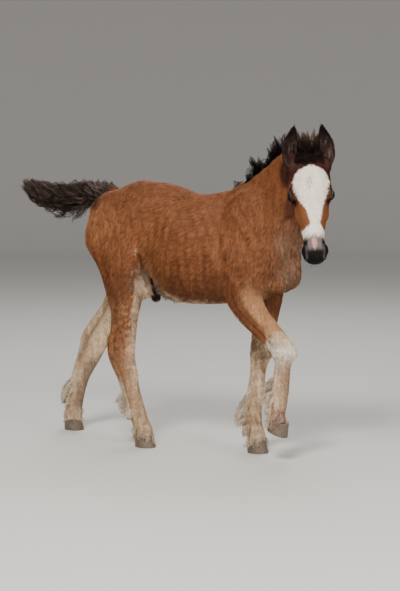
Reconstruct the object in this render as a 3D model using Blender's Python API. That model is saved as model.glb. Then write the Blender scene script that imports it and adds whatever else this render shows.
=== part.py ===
"""A walking cob foal, about a month old, life size, as a still model of separate named pieces.

Metres, +Z up. The foal faces +X, its left side is +Y, and it stands on z = 0 on three hooves
while the right forefoot swings. The body is lofted from oval sections and muscle swellings,
fused into one skin, thinned to flat faces and parted with thin cuts.
"""

import math
import random

import bmesh
import bpy
import numpy as np
from mathutils import Matrix, Vector

GAP = 0.0003  # air between touching pieces
BODY_VOXEL = 0.006
HEAD_VOXEL = 0.003
BODY_FACES = 3200
HEAD_FACES = 1450

# The head hangs from the poll, the top of the skull between the ears.
POLL = Vector((0.5568, -0.095, 1.0855))
HEAD_AZIMUTH = math.radians(-58.6)  # turned to the foal's right
HEAD_PITCH = math.radians(66)  # nose below the level line
HEAD_ROLL = math.radians(2.7)

EYE_RADIUS = 0.0185
EYE_PLACE = Vector((0.1455, 0.0590, -0.028))  # along the face, to the side, out of the face
LID_THICK = 0.0045
EAR_LENGTH = 0.157

HOOF_LENGTH = 0.080
HOOF_WIDTH = 0.070
HOOF_TOE_HEIGHT = 0.050
HOOF_HEEL_HEIGHT = 0.030
HOOF_TOP_SHARE = 0.86  # its size at the coronet, as a share of the sole's
HOOF_SLANT = 0.007  # how far back the coronet sits

MANE_LOCKS = 22
MANE_LENGTH = 0.078
FORELOCK_LOCKS = 11
FORELOCK_LENGTH = 0.060
TAIL_LOCKS = 33
DOCK_RADIUS = 0.025
FEATHER_LENGTH = 0.078
LOCK_SINK = 0.012  # how deep a root is set below its skin
CREST = Vector((-0.65, 0, 0.75))  # the way the crest of the neck looks

SHARP_ANGLE = math.radians(50)  # edges sharper than this stay edges
UP = Vector((0, 0, 1))
FORWARD = Vector((1, 0, 0))


# Materials

# name: colour, roughness
MATERIALS = {
    "bay_coat": ((0.30, 0.115, 0.045), 0.75),
    "cream_coat": ((0.55, 0.46, 0.38), 0.80),
    "dark_coat": ((0.045, 0.028, 0.022), 0.75),
    "black_hair": ((0.020, 0.014, 0.012), 0.60),
    "horn": ((0.10, 0.075, 0.06), 0.50),
    "eye": ((0.012, 0.007, 0.005), 0.10),
}


def material_of(name):
    """The material a node is made of, by its name."""
    if name.startswith("eye"):
        return "eye"
    if name.startswith("ear"):
        return "dark_coat"
    if "hoof" in name:
        return "horn"
    if name.endswith("_lower"):
        return "cream_coat"
    return "black_hair" if name == "tail" else "bay_coat"


def make_material(name, colour, roughness):
    material = bpy.data.materials.new(name)
    material.use_nodes = True
    shader = material.node_tree.nodes["Principled BSDF"]
    shader.inputs["Base Color"].default_value = (*colour, 1)
    shader.inputs["Roughness"].default_value = roughness
    shader.inputs["Metallic"].default_value = 0
    return material


# Tools for closed meshes


def add_object(name, mesh):
    piece = bpy.data.objects.new(name, mesh)
    bpy.context.scene.collection.objects.link(piece)
    return piece


def object_from(name, points, faces):
    mesh = bpy.data.meshes.new(name)
    mesh.from_pydata([tuple(p) for p in points], [], faces)
    mesh.update()
    return add_object(name, mesh)


def face_outward(piece):
    grid = bmesh.new()
    grid.from_mesh(piece.data)
    bmesh.ops.recalc_face_normals(grid, faces=grid.faces)
    grid.to_mesh(piece.data)
    grid.free()


def remove(pieces):
    for piece in pieces:
        bpy.data.objects.remove(piece)


def apply_modifiers(piece):
    """Replaces the object's mesh by what its modifiers make of it."""
    graph = bpy.context.evaluated_depsgraph_get()
    made = bpy.data.meshes.new_from_object(piece.evaluated_get(graph))
    piece.modifiers.clear()
    piece.data = made
    return piece


def curve_through(rows, steps):
    """Rows of numbers carried through by a Catmull-Rom curve, with this many steps to a span."""
    rows = np.array(rows, float)
    ends = np.vstack([2 * rows[0] - rows[1], rows, 2 * rows[-1] - rows[-2]])
    made = []
    for i in range(1, len(ends) - 2):
        a, b, c, d = ends[i - 1 : i + 3]
        for k in range(steps):
            t = k / steps
            square, cube = t * t, t * t * t
            bend = (2 * a - 5 * b + 4 * c - d) * square + (3 * b - a - 3 * c + d) * cube
            made.append(0.5 * (2 * b + (c - a) * t + bend))
    made.append(rows[-1])
    return np.array(made)


def ring_faces(rings, ring):
    """Quads between rings of points, with a fan over each end whose tip is one of the last two points."""
    faces = []
    for i in range(rings - 1):
        for k in range(ring):
            a, b = i * ring + k, i * ring + (k + 1) % ring
            faces.append((a, b, b + ring, a + ring))
    first_tip, last_tip = rings * ring, rings * ring + 1
    last = (rings - 1) * ring
    for k in range(ring):
        faces.append((first_tip, (k + 1) % ring, k))
        faces.append((last_tip, last + k, last + (k + 1) % ring))
    return faces


def loft(name, rows, toward, ring=24, steps=4):
    """A closed skin over oval sections.

    A row holds the section's centre x, y, z, its reach toward the given direction, its reach the
    other way, its half width and, if it has one, a pinch that narrows the side it faces.
    """
    rows = [tuple(row) + (0,) * (7 - len(row)) for row in rows]
    dense = curve_through(rows, steps)
    centres = dense[:, :3]
    tangents = np.gradient(centres, axis=0)
    points = []
    for centre, tangent, (ahead, behind, width, pinch) in zip(centres, tangents, dense[:, 3:]):
        t = Vector(tangent).normalized()
        u = (toward - t * toward.dot(t)).normalized()
        s = t.cross(u)
        for k in range(ring):
            angle = 2 * math.pi * k / ring
            c = math.cos(angle)
            reach = ahead if c > 0 else behind
            points.append(Vector(centre) + u * reach * c + s * width * (1 - pinch * c) * math.sin(angle))
    points += [Vector(centres[0]), Vector(centres[-1])]
    return object_from(name, points, ring_faces(len(centres), ring))


def swelling(name, centre, radii, turn=None, detail=3):
    """An ellipsoid, turned by a matrix if one is given."""
    grid = bmesh.new()
    place = Matrix.Translation(centre) @ (turn.to_4x4() if turn else Matrix.Identity(4))
    stretch = Matrix.Diagonal((*radii, 1))
    bmesh.ops.create_icosphere(grid, subdivisions=detail, radius=1, matrix=place @ stretch)
    mesh = bpy.data.meshes.new(name)
    grid.to_mesh(mesh)
    grid.free()
    return add_object(name, mesh)


def join(name, pieces):
    """One object that holds the pieces' meshes, still separate bodies."""
    grid = bmesh.new()
    for piece in pieces:
        copy = piece.data.copy()
        copy.transform(piece.matrix_world)
        grid.from_mesh(copy)
        bpy.data.meshes.remove(copy)
    mesh = bpy.data.meshes.new(name)
    grid.to_mesh(mesh)
    grid.free()
    remove(pieces)
    return add_object(name, mesh)


def fuse_by_voxels(piece, voxel):
    remesh = piece.modifiers.new("fuse", "REMESH")
    remesh.mode = "VOXEL"
    remesh.voxel_size = voxel
    return apply_modifiers(piece)


def smooth(piece, turns, weight=None):
    """Evens the surface. weight gives each point's share of it, from 0 to 1."""
    modifier = piece.modifiers.new("even", "SMOOTH")
    modifier.factor = 0.5
    modifier.iterations = turns
    if weight:
        group = piece.vertex_groups.new(name="share")
        for vertex in piece.data.vertices:
            group.add([vertex.index], weight(vertex.co), "REPLACE")
        modifier.vertex_group = group.name
    apply_modifiers(piece)
    piece.vertex_groups.clear()
    return piece


def thin_out(piece, faces):
    """Leaves about this many triangles, fewest where the surface is flattest."""
    count = sum(len(p.vertices) - 2 for p in piece.data.polygons)
    modifier = piece.modifiers.new("thin", "DECIMATE")
    modifier.ratio = min(1, faces / count)
    modifier.use_collapse_triangulate = True
    return apply_modifiers(piece)


def combine(piece, others, operation):
    """Cuts the others from the piece, joins them to it or keeps what they share, and removes them.

    The pieces hold thousands of faces, on which the exact solver is slow, so this is MANIFOLD.
    """
    group = bpy.data.collections.new("others")
    bpy.context.scene.collection.children.link(group)
    for other in others:
        for home in list(other.users_collection):
            home.objects.unlink(other)
        group.objects.link(other)
    modifier = piece.modifiers.new("combine", "BOOLEAN")
    modifier.operation = operation
    modifier.operand_type = "COLLECTION"
    modifier.collection = group
    modifier.solver = "MANIFOLD"
    apply_modifiers(piece)
    remove(list(group.objects))
    bpy.data.collections.remove(group)
    return keep_largest(piece)


def keep_largest(piece):
    """Drops every closed surface but the largest, so a sealed hollow fills and a scrap goes."""
    grid = bmesh.new()
    grid.from_mesh(piece.data)
    bmesh.ops.triangulate(grid, faces=grid.faces)
    seen, shells = set(), []
    for start in grid.verts:
        if start.index in seen:
            continue
        shell, queue = [], [start]
        seen.add(start.index)
        while queue:
            vertex = queue.pop()
            shell.append(vertex)
            for edge in vertex.link_edges:
                other = edge.other_vert(vertex)
                if other.index not in seen:
                    seen.add(other.index)
                    queue.append(other)
        shells.append(shell)
    shells.sort(key=len)
    loose = [vertex for shell in shells[:-1] for vertex in shell]
    bmesh.ops.delete(grid, geom=loose, context="VERTS")
    grid.to_mesh(piece.data)
    grid.free()
    return piece


def copy_of(piece, name, swell=0.0):
    """A copy, with its surface pushed out by swell."""
    copy = add_object(name, piece.data.copy())
    if swell:
        modifier = copy.modifiers.new("swell", "DISPLACE")
        modifier.strength = swell
        modifier.mid_level = 0
        apply_modifiers(copy)
    return copy


def beyond(point, normal, shift):
    """A huge block on the normal's side of a plane that is moved by shift along the normal."""
    normal = Vector(normal).normalized()
    turn = normal.to_track_quat("Z", "Y").to_matrix().to_4x4()
    block = prism("beyond", [(-2, 0), (2, 0), (2, 4), (-2, 4)], -2, 2)
    block.data.transform(Matrix.Translation(Vector(point) + normal * shift) @ turn)
    return block


def split(piece, names, point, normal):
    """Parts a piece at a plane into what is on the normal's side and what isn't."""
    upper, lower = copy_of(piece, names[0]), copy_of(piece, names[1])
    remove([piece])
    combine(upper, [beyond(point, normal, GAP / 2)], "INTERSECT")
    combine(lower, [beyond(point, normal, -GAP / 2)], "DIFFERENCE")
    return upper, lower


def prism(name, outline, low, high):
    """A block whose x and z outline is given, between two y."""
    points = [(x, y, z) for y in (low, high) for x, z in outline]
    count = len(outline)
    faces = [tuple(range(count)), tuple(range(2 * count - 1, count - 1, -1))]
    faces += [(k, k + count, (k + 1) % count + count, (k + 1) % count) for k in range(count)]
    piece = object_from(name, points, faces)
    face_outward(piece)
    return piece


# Head frame: x along the face to the nose, y to the foal's left, z out of the forehead


def head_matrix():
    heading = Vector((math.cos(HEAD_AZIMUTH), math.sin(HEAD_AZIMUTH), 0))
    along = heading * math.cos(HEAD_PITCH) - UP * math.sin(HEAD_PITCH)
    out = heading * math.sin(HEAD_PITCH) + UP * math.cos(HEAD_PITCH)
    turn = Matrix((along, out.cross(along), out)).transposed()
    return Matrix.Translation(POLL) @ (Matrix.Rotation(HEAD_ROLL, 3, heading) @ turn).to_4x4()


HEAD = head_matrix()


# Trunk and neck

NECK = [
    (0.270, 0.000, 0.815, 0.155, 0.165, 0.092, 0.15),
    (0.350, 0.000, 0.850, 0.158, 0.165, 0.084, 0.20),
    (0.405, -0.006, 0.908, 0.145, 0.138, 0.070, 0.20),
    (0.452, -0.024, 0.965, 0.122, 0.112, 0.060, 0.15),
    (0.490, -0.050, 1.012, 0.098, 0.088, 0.054, 0.10),
    (0.520, -0.074, 1.038, 0.074, 0.074, 0.051, 0.05),
    (0.542, -0.092, 1.046, 0.050, 0.056, 0.046),
]


def neck():
    """The neck bends to the foal's right as it rises."""
    return loft("neck", NECK, CREST, ring=28)


def trunk_pieces():
    """Barrel, croup and breast, and the muscles that round them."""
    barrel = [
        (-0.352, 0, 0.870, 0.050, 0.080, 0.045),
        (-0.320, 0, 0.845, 0.104, 0.140, 0.080),
        (-0.250, 0, 0.824, 0.148, 0.190, 0.112),
        (-0.160, 0, 0.802, 0.180, 0.215, 0.125),
        (-0.070, 0, 0.778, 0.190, 0.222, 0.123),
        (0.010, 0, 0.748, 0.195, 0.220, 0.130),
        (0.090, 0, 0.737, 0.199, 0.210, 0.134),
        (0.170, 0, 0.737, 0.208, 0.202, 0.126, 0.15),
        (0.240, 0, 0.742, 0.212, 0.198, 0.113, 0.30),
        (0.310, 0, 0.747, 0.198, 0.188, 0.102, 0.30),
        (0.380, 0, 0.745, 0.160, 0.162, 0.092, 0.20),
        (0.430, 0, 0.735, 0.120, 0.120, 0.074),
        (0.456, 0, 0.725, 0.070, 0.070, 0.045),
    ]
    made = [
        loft("barrel", barrel, UP, ring=32),
        swelling("withers", (0.215, 0, 0.905), (0.100, 0.034, 0.050)),
        swelling("croup", (-0.170, 0, 0.876), (0.125, 0.088, 0.104)),
        swelling("dock_root", (-0.325, 0, 0.915), (0.050, 0.036, 0.040)),
        swelling("belly", (0.030, 0, 0.642), (0.150, 0.100, 0.112)),
        swelling("breast", (0.392, 0, 0.672), (0.080, 0.085, 0.090)),
        swelling("girth", (0.270, 0, 0.612), (0.110, 0.070, 0.070)),
    ]
    blade_slope = Matrix.Rotation(0.45, 3, "Y")
    arm_slope = Matrix.Rotation(-0.5, 3, "Y")
    for side in (-1, 1):
        made += [
            swelling("blade", (0.275, 0.058 * side, 0.815), (0.100, 0.040, 0.155), blade_slope),
            swelling("point_of_shoulder", (0.382, 0.070 * side, 0.708), (0.064, 0.040, 0.072)),
            swelling("triceps", (0.272, 0.082 * side, 0.672), (0.095, 0.040, 0.078), arm_slope),
            swelling("pectoral", (0.405, 0.040 * side, 0.648), (0.058, 0.040, 0.058)),
            swelling("haunch", (-0.245, 0.062 * side, 0.845), (0.132, 0.058, 0.100)),
            swelling("hip_point", (-0.095, 0.083 * side, 0.862), (0.060, 0.032, 0.048)),
            swelling("ribs", (0.060, 0.080 * side, 0.730), (0.165, 0.058, 0.135)),
            swelling("flank", (-0.105, 0.070 * side, 0.645), (0.075, 0.040, 0.085)),
        ]
    return made


def sheath():
    """It hangs in the groin, between the thighs."""
    rows = [
        (-0.176, 0, 0.665, 0.024, 0.022, 0.022),
        (-0.160, 0, 0.625, 0.028, 0.022, 0.024),
        (-0.146, 0, 0.580, 0.026, 0.020, 0.023),
        (-0.138, 0, 0.550, 0.020, 0.017, 0.019),
        (-0.134, 0, 0.532, 0.011, 0.010, 0.011),
    ]
    return loft("sheath", rows, FORWARD, ring=12, steps=2)


# Legs. Each row is a section: centre, then reach ahead, reach behind and half width.

HIND_REACH = [
    (0.100, 0.110, 0.055),
    (0.132, 0.146, 0.066),
    (0.118, 0.116, 0.067),
    (0.094, 0.093, 0.063),
    (0.080, 0.080, 0.057),
    (0.063, 0.063, 0.049),
    (0.053, 0.057, 0.042),
    (0.053, 0.058, 0.036),
    (0.058, 0.064, 0.035),
    (0.052, 0.056, 0.032),
    (0.046, 0.048, 0.030),
    (0.041, 0.042, 0.029),
    (0.037, 0.039, 0.029),
    (0.036, 0.036, 0.031),
    (0.035, 0.034, 0.030),
    (0.037, 0.036, 0.032),
    (0.034, 0.032, 0.030),
]
RIGHT_HIND = [
    (-0.235, -0.070, 0.860),
    (-0.240, -0.078, 0.780),
    (-0.222, -0.084, 0.700),
    (-0.210, -0.090, 0.632),
    (-0.202, -0.093, 0.570),
    (-0.201, -0.094, 0.515),
    (-0.203, -0.094, 0.465),
    (-0.209, -0.092, 0.418),
    (-0.220, -0.090, 0.358),
    (-0.211, -0.090, 0.308),
    (-0.197, -0.090, 0.270),
    (-0.187, -0.090, 0.230),
    (-0.173, -0.090, 0.185),
    (-0.157, -0.090, 0.137),
    (-0.141, -0.090, 0.096),
    (-0.123, -0.090, 0.056),
    (-0.116, -0.090, 0.030),
]
LEFT_HIND = [
    (-0.240, 0.070, 0.860),
    (-0.258, 0.078, 0.780),
    (-0.280, 0.084, 0.700),
    (-0.302, 0.090, 0.632),
    (-0.325, 0.094, 0.570),
    (-0.355, 0.096, 0.512),
    (-0.388, 0.096, 0.462),
    (-0.427, 0.094, 0.412),
    (-0.462, 0.093, 0.357),
    (-0.484, 0.091, 0.308),
    (-0.503, 0.090, 0.270),
    (-0.524, 0.090, 0.228),
    (-0.541, 0.090, 0.182),
    (-0.553, 0.090, 0.137),
    (-0.560, 0.090, 0.096),
    (-0.564, 0.090, 0.056),
    (-0.562, 0.090, 0.030),
]
FORE_REACH = [
    (0.095, 0.100, 0.045),
    (0.088, 0.100, 0.052),
    (0.072, 0.080, 0.051),
    (0.062, 0.070, 0.047),
    (0.052, 0.058, 0.041),
    (0.045, 0.050, 0.037),
    (0.043, 0.046, 0.036),
    (0.044, 0.043, 0.037),
    (0.038, 0.038, 0.034),
    (0.032, 0.032, 0.029),
    (0.034, 0.032, 0.028),
    (0.036, 0.034, 0.028),
    (0.037, 0.037, 0.029),
    (0.038, 0.040, 0.032),
    (0.035, 0.036, 0.031),
    (0.037, 0.036, 0.032),
    (0.034, 0.032, 0.030),
]
RIGHT_FORE = [
    (0.335, -0.070, 0.720),
    (0.312, -0.082, 0.660),
    (0.300, -0.090, 0.600),
    (0.318, -0.092, 0.548),
    (0.352, -0.092, 0.505),
    (0.396, -0.092, 0.463),
    (0.432, -0.092, 0.430),
    (0.457, -0.092, 0.398),
    (0.461, -0.092, 0.366),
    (0.457, -0.092, 0.337),
    (0.452, -0.092, 0.302),
    (0.447, -0.092, 0.262),
    (0.441, -0.092, 0.225),
    (0.434, -0.092, 0.192),
    (0.431, -0.092, 0.168),
    (0.434, -0.092, 0.146),
    (0.437, -0.092, 0.130),
]
LEFT_FORE = [
    (0.335, 0.070, 0.720),
    (0.312, 0.080, 0.660),
    (0.297, 0.085, 0.600),
    (0.296, 0.082, 0.545),
    (0.295, 0.075, 0.490),
    (0.293, 0.067, 0.435),
    (0.291, 0.062, 0.403),
    (0.287, 0.058, 0.368),
    (0.284, 0.053, 0.335),
    (0.282, 0.047, 0.300),
    (0.279, 0.042, 0.262),
    (0.275, 0.035, 0.215),
    (0.271, 0.030, 0.175),
    (0.269, 0.026, 0.137),
    (0.278, 0.023, 0.096),
    (0.291, 0.020, 0.056),
    (0.297, 0.020, 0.030),
]


def leg(name, centres, reaches):
    return loft(name, [c + r for c, r in zip(centres, reaches)], FORWARD, ring=22)


def leg_pieces():
    made = [
        leg("right_hind", RIGHT_HIND, HIND_REACH),
        leg("left_hind", LEFT_HIND, HIND_REACH),
        leg("right_fore", RIGHT_FORE, FORE_REACH),
        leg("left_fore", LEFT_FORE, FORE_REACH),
    ]
    for centres in (RIGHT_HIND, LEFT_HIND):
        hock = Vector(centres[8])
        shank = (Vector(centres[7]) - hock).normalized()
        made.append(swelling("point_of_hock", hock - FORWARD * 0.046 + shank * 0.020, (0.022, 0.018, 0.036)))
    return made


# Head, in its own frame


def head_pieces():
    """Skull and nose, jaw, cheeks, brows, muzzle, lips and chin. Lengths run from the poll."""
    skull = [
        (-0.030, 0, -0.060, 0.035, 0.045, 0.038),
        (-0.005, 0, -0.062, 0.054, 0.056, 0.056),
        (0.035, 0, -0.064, 0.076, 0.060, 0.068),
        (0.082, 0, -0.062, 0.084, 0.060, 0.0740),
        (0.127, 0, -0.056, 0.075, 0.054, 0.0745),
        (0.162, 0, -0.052, 0.063, 0.048, 0.0650),
        (0.195, 0, -0.050, 0.052, 0.044, 0.0560),
        (0.235, 0, -0.048, 0.044, 0.040, 0.0480),
        (0.268, 0, -0.047, 0.041, 0.036, 0.0405),
        (0.300, 0, -0.047, 0.039, 0.034, 0.0370),
        (0.330, 0, -0.048, 0.038, 0.032, 0.0400),
        (0.356, 0, -0.051, 0.035, 0.030, 0.0410),
        (0.374, 0, -0.056, 0.029, 0.024, 0.0340),
        (0.385, 0, -0.061, 0.014, 0.012, 0.0180),
    ]
    jaw = [
        (0.040, 0, -0.120, 0.050, 0.042, 0.050),
        (0.085, 0, -0.122, 0.052, 0.054, 0.058),
        (0.130, 0, -0.116, 0.052, 0.056, 0.057),
        (0.180, 0, -0.104, 0.046, 0.046, 0.049),
        (0.230, 0, -0.092, 0.040, 0.036, 0.041),
        (0.280, 0, -0.085, 0.034, 0.030, 0.034),
        (0.322, 0, -0.084, 0.026, 0.028, 0.030),
        (0.350, 0, -0.084, 0.018, 0.027, 0.030),
        (0.366, 0, -0.084, 0.010, 0.018, 0.021),
    ]
    made = [
        loft("skull", skull, UP, ring=28),
        loft("jaw", jaw, UP, ring=24),
        swelling("forehead", (0.090, 0, -0.014), (0.062, 0.058, 0.032)),
        swelling("lip", (0.362, 0, -0.063), (0.025, 0.036, 0.017)),
        swelling("chin", (0.343, 0, -0.097), (0.022, 0.024, 0.018)),
        swelling("throat", (0.050, 0, -0.105), (0.066, 0.050, 0.066)),
    ]
    for side in (-1, 1):
        made += [
            swelling("cheek", (0.122, 0.038 * side, -0.108), (0.066, 0.026, 0.060)),
            swelling("brow", (0.128, 0.050 * side, -0.023), (0.048, 0.0225, 0.020)),
            swelling("bars", (0.235, 0.022 * side, -0.072), (0.075, 0.021, 0.022)),
            swelling("cheekbone", (0.190, 0.048 * side, -0.054), (0.045, 0.012, 0.012)),
            swelling("nostril_wing", (0.347, 0.031 * side, -0.037), (0.026, 0.015, 0.021)),
            swelling("ear_root", (0.036, 0.056 * side, -0.038), (0.034, 0.022, 0.030)),
        ]
    for piece in made:
        piece.data.transform(HEAD)
    for side in (-1, 1):
        reach = EYE_RADIUS + LID_THICK
        made.append(swelling("lids", eye_centre(side), (reach * 1.25, reach * 1.02, reach), eye_frame(side)))
    return made


def nostril_cutter(side):
    """A comma-shaped pit that opens to the side and the front."""
    rows = [
        (0.331, 0.0350 * side, -0.0240, 0.004, 0.004, 0.011),
        (0.344, 0.0365 * side, -0.0275, 0.006, 0.006, 0.014),
        (0.358, 0.0360 * side, -0.0360, 0.007, 0.007, 0.014),
        (0.366, 0.0335 * side, -0.0465, 0.005, 0.005, 0.011),
    ]
    cutter = loft("nostril", rows, UP, ring=9, steps=2)
    cutter.data.transform(HEAD)
    return cutter


def mouth_cutter():
    """The line of the mouth: a thin groove round the muzzle between the lips."""
    line = [(0.306, -0.0745), (0.322, -0.0765), (0.345, -0.0775), (0.368, -0.0765), (0.395, -0.0740)]
    reach, half = 0.055, 0.0011
    points = [(x, y, z + t) for x, z in line for y in (-reach, reach) for t in (-half, half)]
    faces = []
    for i in range(len(line) - 1):
        a, b = 4 * i, 4 * i + 4
        for k, n in ((0, 1), (1, 3), (3, 2), (2, 0)):
            faces.append((a + k, b + k, b + n, a + n))
    last = 4 * (len(line) - 1)
    faces += [(0, 1, 3, 2), (last, last + 2, last + 3, last + 1)]
    groove = object_from("mouth", points, faces)
    face_outward(groove)
    rows = [
        (0.280, 0, -0.076, 0.03, 0.03, 0.024),
        (0.315, 0, -0.076, 0.03, 0.03, 0.026),
        (0.348, 0, -0.076, 0.03, 0.03, 0.026),
        (0.368, 0, -0.076, 0.03, 0.03, 0.010),
    ]
    combine(groove, [loft("mouth_core", rows, UP, ring=12, steps=2)], "DIFFERENCE")
    groove.data.transform(HEAD)
    return groove


def eye_centre(side):
    return HEAD @ Vector((EYE_PLACE.x, EYE_PLACE.y * side, EYE_PLACE.z))


def eye_frame(side):
    """x toward the nose along the lids, z out along the gaze."""
    turn = HEAD.to_3x3()
    gaze = (turn @ Vector((0.22, 0.86 * side, 0.42))).normalized()
    along = turn @ Vector((1, 0, 0))
    along = (along - gaze * along.dot(gaze)).normalized()
    return Matrix((along, gaze.cross(along), gaze)).transposed()


def add_eye(head, side, name):
    """Opens the lids in an almond and leaves the ball in its socket behind them."""
    centre, turn = eye_centre(side), eye_frame(side)
    upper = [(-0.0175, 0.0008), (-0.0120, 0.0082), (0, 0.0125), (0.0120, 0.0086), (0.0180, 0.0008)]
    # the upper lid is on the side of the forehead
    high = 1 if (turn @ Vector((0, 1, 0))).dot(HEAD.to_3x3() @ UP) > 0 else -1
    outline = [(x, h * high) for x, h in upper] + [(x, -0.72 * h * high) for x, h in reversed(upper)]
    points = [(x, y, z) for z in (EYE_RADIUS * 0.3, EYE_RADIUS * 2) for x, y in outline]
    count = len(outline)
    faces = [tuple(range(count)), tuple(range(2 * count - 1, count - 1, -1))]
    faces += [(k, k + count, (k + 1) % count + count, (k + 1) % count) for k in range(count)]
    opening = object_from("lid_opening", points, faces)
    opening.data.transform(Matrix.Translation(centre) @ turn.to_4x4())
    face_outward(opening)
    socket = swelling("socket", centre, (EYE_RADIUS + GAP,) * 3, turn)
    combine(head, [opening, socket], "DIFFERENCE")
    return swelling(name, centre, (EYE_RADIUS,) * 3, turn)


# Ears: cupped leaves


def ear(name, side):
    """A leaf rolled round its length, with a real hollow, open forward and outward."""
    rows, around, thick = 8, 7, 0.0035
    outer, inner = [], []
    for i in range(rows + 1):
        t = i / rows
        radius = 0.003 + 0.0235 * max(0, math.sin(math.pi * (0.02 + 0.98 * t))) ** 0.7
        open_half = math.radians(16 + 60 * min(1, t * 2.2))
        middle = Vector((0.010 * t * t, side * (0.010 * min(1, 3 * t) - 0.026 * t**2.5), t * EAR_LENGTH))
        for k in range(around + 1):
            angle = open_half + (2 * math.pi - 2 * open_half) * k / around
            reach = Vector((math.cos(angle), math.sin(angle), 0))
            outer.append(middle + reach * radius)
            inner.append(middle + reach * max(radius - thick, radius * 0.35))
    count = around + 1
    total = count * (rows + 1)
    faces = []
    for i in range(rows):
        for k in range(around):
            a = i * count + k
            faces.append((a, a + 1, a + 1 + count, a + count))
            faces.append((total + a, total + a + count, total + a + 1 + count, total + a + 1))
        for k in (0, around):
            a = i * count + k
            faces.append((a, a + count, total + a + count, total + a))
    for k in range(around):
        a = rows * count + k
        faces.append((a, a + 1, total + a + 1, total + a))
        faces.append((k, k + 1, total + k + 1, total + k))
    piece = object_from(name, outer + inner, faces)
    face_outward(piece)
    turn = HEAD.to_3x3()
    rise = (turn @ Vector((-0.90, 0.02 * side, 0.43))).normalized()
    face = turn @ Vector((0.25, 0.30 * side, 0.91))
    face = (face - rise * face.dot(rise)).normalized()
    place = Matrix((face, rise.cross(face), rise)).transposed().to_4x4()
    base = HEAD @ Vector((0.057, 0.0560 * side, -0.041))
    piece.data.transform(Matrix.Translation(base) @ place)
    return piece


# Hooves


def hoof(name, leg_rows, tilt=0.0):
    """A short horn capsule under a leg, wider at its flat sole, lower at the heel.

    The place under the leg is the middle of the sole; tilt turns the hoof about it, toe down.
    """
    ring = 20
    points = []
    for level, grow in ((0, 1.0), (1, HOOF_TOP_SHARE)):
        for k in range(ring):
            angle = 2 * math.pi * k / ring
            c, s = math.cos(angle), math.sin(angle)
            height = (HOOF_TOE_HEIGHT + HOOF_HEEL_HEIGHT) / 2 + c * (HOOF_TOE_HEIGHT - HOOF_HEEL_HEIGHT) / 2
            along = 0.5 * HOOF_LENGTH * grow * c - HOOF_SLANT * level
            points.append((along, 0.5 * HOOF_WIDTH * grow * s, level * (height - GAP)))
    faces = [tuple(reversed(range(ring))), tuple(range(ring, 2 * ring))]
    faces += [(k, (k + 1) % ring, (k + 1) % ring + ring, k + ring) for k in range(ring)]
    piece = object_from(name, points, faces)
    piece.data.transform(hoof_place(leg_rows, tilt))
    return piece


def hoof_place(leg_rows, tilt):
    x, y, z = leg_rows[-1]
    return Matrix.Translation((x, y, z - HOOF_HEEL_HEIGHT)) @ Matrix.Rotation(tilt, 4, "Y")


def coronet(leg_rows, tilt):
    """The plane between a leg and its hoof, as a point and an upward normal."""
    place = hoof_place(leg_rows, tilt)
    rise = math.atan2(HOOF_TOE_HEIGHT - HOOF_HEEL_HEIGHT, HOOF_LENGTH * HOOF_TOP_SHARE)
    height = (HOOF_TOE_HEIGHT + HOOF_HEEL_HEIGHT) / 2
    point = place @ Vector((-HOOF_SLANT, 0, height))
    normal = place.to_3x3() @ Vector((-math.sin(rise), 0, math.cos(rise)))
    return point, normal


def clear_scene():
    for thing in list(bpy.data.objects):
        bpy.data.objects.remove(thing)


# Hair: flat tapered locks, each sunk into what it grows from


def lock(path, width, flat):
    """A lock along a path of points, broad across the way that flat looks."""
    rings = len(path) - 1
    points = []
    for i, place in enumerate(path[:-1]):
        ahead = (path[i + 1] - path[max(0, i - 1)]).normalized()
        side = ahead.cross(flat).normalized()
        out = side.cross(ahead)
        t = i / rings
        half = width / 2 * min(1, 0.7 + t) * (1 - t**2.2)
        thick = 0.24 * half + 0.0012
        points += [place + side * half, place + out * thick, place - side * half, place - out * thick]
    points += [path[0], path[-1]]
    piece = object_from("lock", points, ring_faces(rings, 4))
    face_outward(piece)
    return piece


def bent_path(root, rise, lie, length, steps):
    """Points from a sunk root that set off along rise and turn to lie."""
    rise, lie = rise.normalized(), lie.normalized()
    place = Vector(root) - rise * LOCK_SINK
    path = [place]
    for i in range(steps):
        heading = rise.lerp(lie, min(1, (i + 0.3) / (steps - 1))).normalized()
        place = place + heading * (length + LOCK_SINK) / steps
        path.append(place)
    return path


def mane():
    """Short locks that stand on the crest, lean to the left and tip back."""
    draw = random.Random(11)
    rows = curve_through([row[:6] for row in NECK], 12)
    tangents = np.gradient(rows[:, :3], axis=0)
    made = []
    for i in range(MANE_LOCKS):
        t = (i + 0.5) / MANE_LOCKS
        at = int((0.06 + 0.80 * t) * (len(rows) - 1))
        along = Vector(tangents[at]).normalized()
        out = (CREST - along * CREST.dot(along)).normalized()
        left = out.cross(along) if out.cross(along).y > 0 else along.cross(out)
        root = Vector(rows[at][:3]) + out * (rows[at][3] - 0.004) + left * 0.007 * (-1) ** i
        lean = 0.25 + 0.20 * (-1) ** (i + 1) + draw.uniform(-0.15, 0.15)
        rise = out + left * lean + along * draw.uniform(-0.10, 0.20)
        lie = out * 0.7 + left * (lean + 0.5) - along * draw.uniform(0.2, 0.7)
        length = MANE_LENGTH * min(1, 0.45 + 2.2 * t) * draw.uniform(0.85, 1.15)
        made.append(lock(bent_path(root, rise, lie, length, 3), 0.034, left))
    return made


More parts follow.
